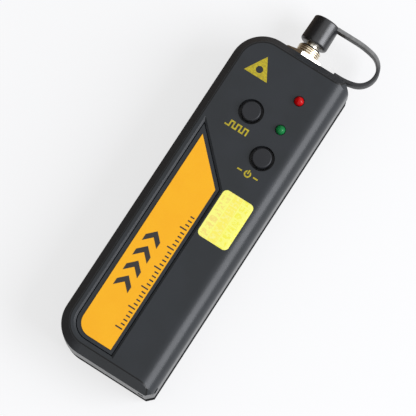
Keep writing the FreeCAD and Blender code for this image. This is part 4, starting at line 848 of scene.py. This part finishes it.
@dataclass
class DustCap:
    """Soft cap over the port and the band that ties it to the case."""

    axis_z: float = 10.0
    tip_radius: float = 4.6
    band_below_tip: float = 0.6
    band_thickness: float = 1.3
    band_half_width: float = 2.05
    band_edge: float = 0.3
    run: float = 6.8             # straight, away from the cap
    run_root: float = 0.6        # of the run inside the cap's wall
    bend_radius: float = 28.0
    slope: float = 14.0          # degrees, at the end of the gentle bend
    loop_radius: float = 6.15
    loop_turn: float = 150.0     # degrees
    tail_end: float = 10.9
    pad_end: float = 7.4
    pad_root: float = 1.5        # of the pad under the tail
    pad_thickness: float = 0.95
    pad_overlap: float = 0.05
    step_length: float = 0.3     # over which the band's thickness changes at the pad
    run_points: int = 40         # drawn on the straight run, each arc and the tail
    arc_points: int = 80
    tail_points: int = 60
    stations: int = 320          # evenly spaced along the finished band
    smoothing: int = 8           # passes that soften the joints of the arcs
    stud_x: float = 9.2
    stud_radius: float = 1.2
    stud_root: float = 0.5       # of the stud inside the pad
    stud_head_radius: float = 2.1
    stud_head_length: float = 1.2
    stud_chamfer: float = 0.3
    stud_facets: int = 32
    wall: float = 2.2
    blend_start: float = 1.6     # above the end wall, where the band starts to follow the cap
    blend_end: float = 2.8       # below the cap's tip, where it follows it fully

    def centre_line(self) -> np.ndarray:
        """Middle of the band: straight run, gentle arc, tight arc, wide arc, straight tail.

        Returns:
            Stations x 2 array of places in x and y, evenly spaced and lightly smoothed.
        """
        tip_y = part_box("dust_cap")[1].y / MM
        lean = math.radians(self.slope)
        start = np.array([self.tip_radius - self.run_root, tip_y - self.band_below_tip])
        run_end = start + (self.run + self.run_root, 0.0)
        bend_centre = run_end - (0.0, self.bend_radius)
        centre = bend_centre + (self.bend_radius - self.loop_radius) * np.array(
            [math.sin(lean), math.cos(lean)])
        first = math.pi / 2 - lean
        last = first - math.radians(self.loop_turn)
        low = centre[1] + self.loop_radius * math.sin(last)
        wide = (low - self.landing) / (1 + math.sin(last))
        wide_x = centre[0] + (self.loop_radius - wide) * math.cos(last)
        share = np.linspace(0.0, 1.0, self.run_points)[:, None]
        pieces = [start + share * (run_end - start)]
        for middle, radius, begin, end in (
                (bend_centre, self.bend_radius, math.pi / 2, first),
                (centre, self.loop_radius, first, last),
                ((wide_x, self.landing + wide), wide, last, -math.pi / 2)):
            turn = np.linspace(begin, end, self.arc_points)
            pieces.append(middle + radius * np.stack([np.cos(turn), np.sin(turn)], -1))
        pieces.append(np.stack([np.linspace(wide_x, self.pad_end, self.tail_points),
                                np.full(self.tail_points, self.landing)], -1))
        line = np.vstack(pieces)
        steps = np.concatenate([[0.0], np.cumsum(np.hypot(*np.diff(line, axis=0).T))])
        even = np.linspace(0.0, steps[-1], self.stations)
        line = np.stack([np.interp(even, steps, line[:, axis]) for axis in (0, 1)], -1)
        for _ in range(self.smoothing):
            line[1:-1] = (line[:-2] + 2 * line[1:-1] + line[2:]) / 4
        return line

    @property
    def landing(self) -> float:
        """Middle of the band's tail, which lies on the pad."""
        return self.wall_y + self.pad_thickness - self.pad_overlap + self.band_thickness / 2

    @property
    def wall_y(self) -> float:
        """Outside of the case's end wall."""
        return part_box("front_shell")[1].y / MM

    def band(self) -> bpy.types.Object:
        """Rounded rectangle carried along the centre line, then thick over the pad's root."""
        line = self.centre_line()
        tangent = np.gradient(line, axis=0)
        tangent /= np.linalg.norm(tangent, axis=1)[:, None]
        outward = np.stack([-tangent[:, 1], tangent[:, 0]], -1)
        half = self.band_thickness / 2
        on_tail = line[:, 1] < self.landing + half

        def behind(place: float) -> np.ndarray:
            """Smooth step from 0 to 1 where the tail passes a place on x."""
            share = np.clip((place - line[:, 0]) / self.step_length + 0.5, 0.0, 1.0) * on_tail
            return share * share * (3 - 2 * share)

        inner = -half + behind(self.tail_end) * (self.band_thickness - self.pad_overlap)
        outer = half + behind(self.tail_end + self.pad_root) * (self.pad_thickness
                                                                - self.pad_overlap)
        up, wide = rounded_section(inner, outer, self.band_half_width, self.band_edge)
        grid = np.concatenate([line[:, None] + up[..., None] * outward[:, None],
                               self.axis_z + wide[..., None]], -1)
        # the band is rubber with a painted sheen on its upper edge
        return surface("cap_band", grid, RubberWithPaintedSheen())

    def stud(self) -> bpy.types.Object:
        """Turned stud: profile of radius along Y, from the pad to the head inside the case."""
        head = self.wall_y - self.wall
        end = head - self.stud_head_length
        along = np.array([self.wall_y + self.stud_root, head, head, end + self.stud_chamfer, end])
        radius = np.array([self.stud_radius, self.stud_radius, self.stud_head_radius,
                           self.stud_head_radius, self.stud_head_radius - self.stud_chamfer])
        angle = np.linspace(0.0, 2 * math.pi, self.stud_facets, endpoint=False)
        reach = np.broadcast_to(radius[:, None], (along.size, angle.size))
        grid = np.stack([self.stud_x + reach * np.cos(angle),
                         np.broadcast_to(along[:, None], reach.shape),
                         self.axis_z + reach * np.sin(angle)], -1)
        return surface("band_stud", grid, Rubber())

    def build(self) -> None:
        """Dresses the cap, and builds the band and its stud."""
        dress(Rubber(), "dust_cap")
        band = self.band()
        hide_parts("cap_tether")
        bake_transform(band)
        LOG.info("built %s between %s and %s", band.name, Body.HOUSING.value, Body.CAP.value)
        settle(self.stud(), Body.HOUSING, "rubber")


# ---------------------------------------------------------------- studio
@dataclass(frozen=True)
class Softbox:
    """Square lamp that faces the object.

    Its brightness is the radiance of its face, on a scale where 1 renders white.
    """

    title: str
    azimuth: float
    elevation: float
    distance: float
    size: float
    brightness: float
    tint: tuple[float, float, float] = (0.97, 0.985, 1.04)    # cool daylight

    def build(self, target: Vector) -> None:
        """Places the lamp; its power is pi x brightness x area, as for any matt emitter."""
        turn, rise = math.radians(self.azimuth), math.radians(self.elevation)
        way = Vector((math.cos(turn) * math.cos(rise), math.sin(turn) * math.cos(rise),
                      math.sin(rise)))
        data = bpy.data.lights.new(self.title, "AREA")
        data.shape = "SQUARE"
        data.size = self.size
        data.color = self.tint
        data.energy = math.pi * self.brightness * self.size ** 2
        lamp = bpy.data.objects.new(self.title, data)
        lamp.location = target + way * self.distance
        lamp.rotation_euler = (-way).to_track_quat("-Z", "Y").to_euler()
        bpy.context.scene.collection.objects.link(lamp)


@dataclass
class Studio:
    """Pale floor, dark cards, soft lamp, even surround and the camera, with places in metres."""

    floor_half: float = 3.0
    floor_drop: float = 0.00005
    floor_colour: str = "#F6F6F8"
    floor_glow: float = 0.7      # share of plain white in what the eye sees of the floor
    surround: float = 0.45
    azimuth: float = 32.65
    elevation: float = 78.76
    distance: float = 0.942
    lens: float = 254.25         # in mm
    aim: tuple[float, float, float] = (0.00050, 0.00263, 0.011)
    sensor: float = 36.0         # width, in mm
    clip: tuple[float, float] = (0.05, 20.0)
    lamps: Sequence[Softbox] = (
        Softbox("key", azimuth=12.0, elevation=33.5, distance=1.3, size=0.95, brightness=6.6),
    )
    flag_colour: str = "#50463A"
    flag_x: float = -0.3         # upright flag to the left, for the shiny parts to mirror
    flag_height: float = 0.7
    flag_half: float = 0.6
    card_colour: str = "#7F7266"
    card_x: float = -0.028       # flat card on the floor, from here to the flag
    card_y: float = 0.08         # and from here on beyond the top
    card_low: float = 0.0665     # lower edge and right edge of its tab under the cap
    card_tab: float = 0.0065

    def floor(self) -> None:
        """Large square floor, white to the eye and in gloss, that keeps soft shadows."""
        half = self.floor_half
        mesh = bpy.data.meshes.new("floor")
        corners = [(-half, -half), (half, -half), (half, half), (-half, half)]
        mesh.from_pydata([(x, y, -self.floor_drop) for x, y in corners], [], [(0, 1, 2, 3)])
        material = bpy.data.materials.new("pale_floor")
        material.use_nodes = True
        tree = material.node_tree
        tree.nodes.clear()
        matt = add_node(tree, "BsdfDiffuse", {"Color": linear(self.floor_colour)})
        white = add_node(tree, "Emission", {"Color": (1.0, 1.0, 1.0, 1.0), "Strength": 1.0})
        seen = self.seen(tree)
        share = add_node(tree, "Math", {"operation": "MULTIPLY", 1: self.floor_glow}, {0: seen})
        mixed = add_node(tree, "MixShader", links={0: share.outputs[0], 1: matt.outputs[0],
                                                   2: white.outputs[0]})
        add_node(tree, "OutputMaterial", links={"Surface": mixed.outputs[0]})
        mesh.materials.append(material)
        floor = bpy.data.objects.new("floor", mesh)
        bpy.context.scene.collection.objects.link(floor)
        floor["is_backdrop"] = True

    def seen(self, tree: Tree) -> Socket:
        """1 for rays from the eye, a mirror or glass, 0 for rays that carry light."""
        path = add_node(tree, "LightPath")
        first = add_node(tree, "Math", {"operation": "MAXIMUM"},
                         {0: path.outputs["Is Camera Ray"], 1: path.outputs["Is Glossy Ray"]})
        return add_node(tree, "Math", {"operation": "MAXIMUM"},
                        {0: first.outputs[0], 1: path.outputs["Is Transmission Ray"]}).outputs[0]

    def flag(self, title: str, colour: str, corners: Sequence[tuple[float, float, float]],
             faces: Sequence[Sequence[int]]) -> None:
        """Places a dark card that only reflections show.

        Args:
            title: name of the card.
            colour: hex code of its felt.
            corners: places of its corners, in metres.
            faces: corners of each of its faces.
        """
        mesh = bpy.data.meshes.new(title)
        mesh.from_pydata(corners, [], faces)
        material = bpy.data.materials.new(f"{title}_felt")
        material.use_nodes = True
        tree = material.node_tree
        tree.nodes.clear()
        felt = add_node(tree, "BsdfDiffuse", {"Color": linear(colour)})
        add_node(tree, "OutputMaterial", links={"Surface": felt.outputs[0]})
        mesh.materials.append(material)
        flag = bpy.data.objects.new(title, mesh)
        bpy.context.scene.collection.objects.link(flag)
        flag.visible_camera = False
        flag.visible_diffuse = False
        flag.visible_shadow = False
        flag.visible_transmission = False
        flag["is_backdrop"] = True

    def flags(self) -> None:
        """Upright card to the left, and one flat on the floor that runs round left and top."""
        left, half, high = self.flag_x, self.flag_half, self.flag_height
        self.flag("flag", self.flag_colour,
                  [(left, -half, 0.0), (left, half, 0.0), (left, half, high), (left, -half, high)],
                  [(0, 1, 2, 3)])
        level = self.floor_drop
        outline = [(left, -half), (self.card_x, -half), (self.card_x, self.card_low),
                   (self.card_tab, self.card_low), (self.card_tab, self.card_y),
                   (-self.card_x, self.card_y), (-left, half), (self.card_x, half), (left, half)]
        self.flag("floor_card", self.card_colour, [(x, y, level) for x, y in outline],
                  [(0, 1, 2, 7, 8), (2, 3, 4, 7), (4, 5, 6, 7)])

    def world(self) -> None:
        """Even surround that lights softly, and looks white to the eye and in gloss."""
        world = bpy.data.worlds.new("surround")
        bpy.context.scene.world = world
        world.use_nodes = True
        tree = world.node_tree
        tree.nodes.clear()
        strength = add_node(tree, "MapRange", {"To Min": self.surround, "To Max": 1.0},
                            {"Value": self.seen(tree)})
        light = add_node(tree, "Background", {"Color": (1.0, 1.0, 1.0, 1.0)},
                         {"Strength": strength.outputs["Result"]})
        add_node(tree, "OutputWorld", links={"Surface": light.outputs[0]})

    def camera(self) -> None:
        """Long lens above and to the right of the connector end."""
        turn, rise = math.radians(self.azimuth), math.radians(self.elevation)
        back = Vector((math.sin(turn) * math.cos(rise), -math.cos(turn) * math.cos(rise),
                       math.sin(rise)))
        data = bpy.data.cameras.new("camera")
        data.lens = self.lens
        data.sensor_width = self.sensor
        data.clip_start, data.clip_end = self.clip
        data.dof.use_dof = False
        camera = bpy.data.objects.new("camera", data)
        camera.location = Vector(self.aim) + back * self.distance
        camera.rotation_euler = (-back).to_track_quat("-Z", "Y").to_euler()
        bpy.context.scene.collection.objects.link(camera)
        bpy.context.scene.camera = camera

    def build(self) -> None:
        """Sets up floor, dark cards, surround, lamps and camera."""
        self.floor()
        self.flags()
        self.world()
        low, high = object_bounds()
        for lamp in self.lamps:
            lamp.build((low + high) / 2)
            LOG.info("placed lamp %s", lamp.title)
        self.camera()
        bpy.context.scene.view_settings.view_transform = "Standard"


def main() -> None:
    """Builds each sub-assembly and the studio."""
    logging.basicConfig(level=logging.INFO, format="%(name)s: %(message)s")
    for part in (Case(), FacePrint(), Controls(), Electronics(), PowerSupply(), OpticalPort(),
                 DustCap(), Studio()):
        part.build()
        LOG.info("finished %s", type(part).__name__)


if __name__ == "__main__":
    main()
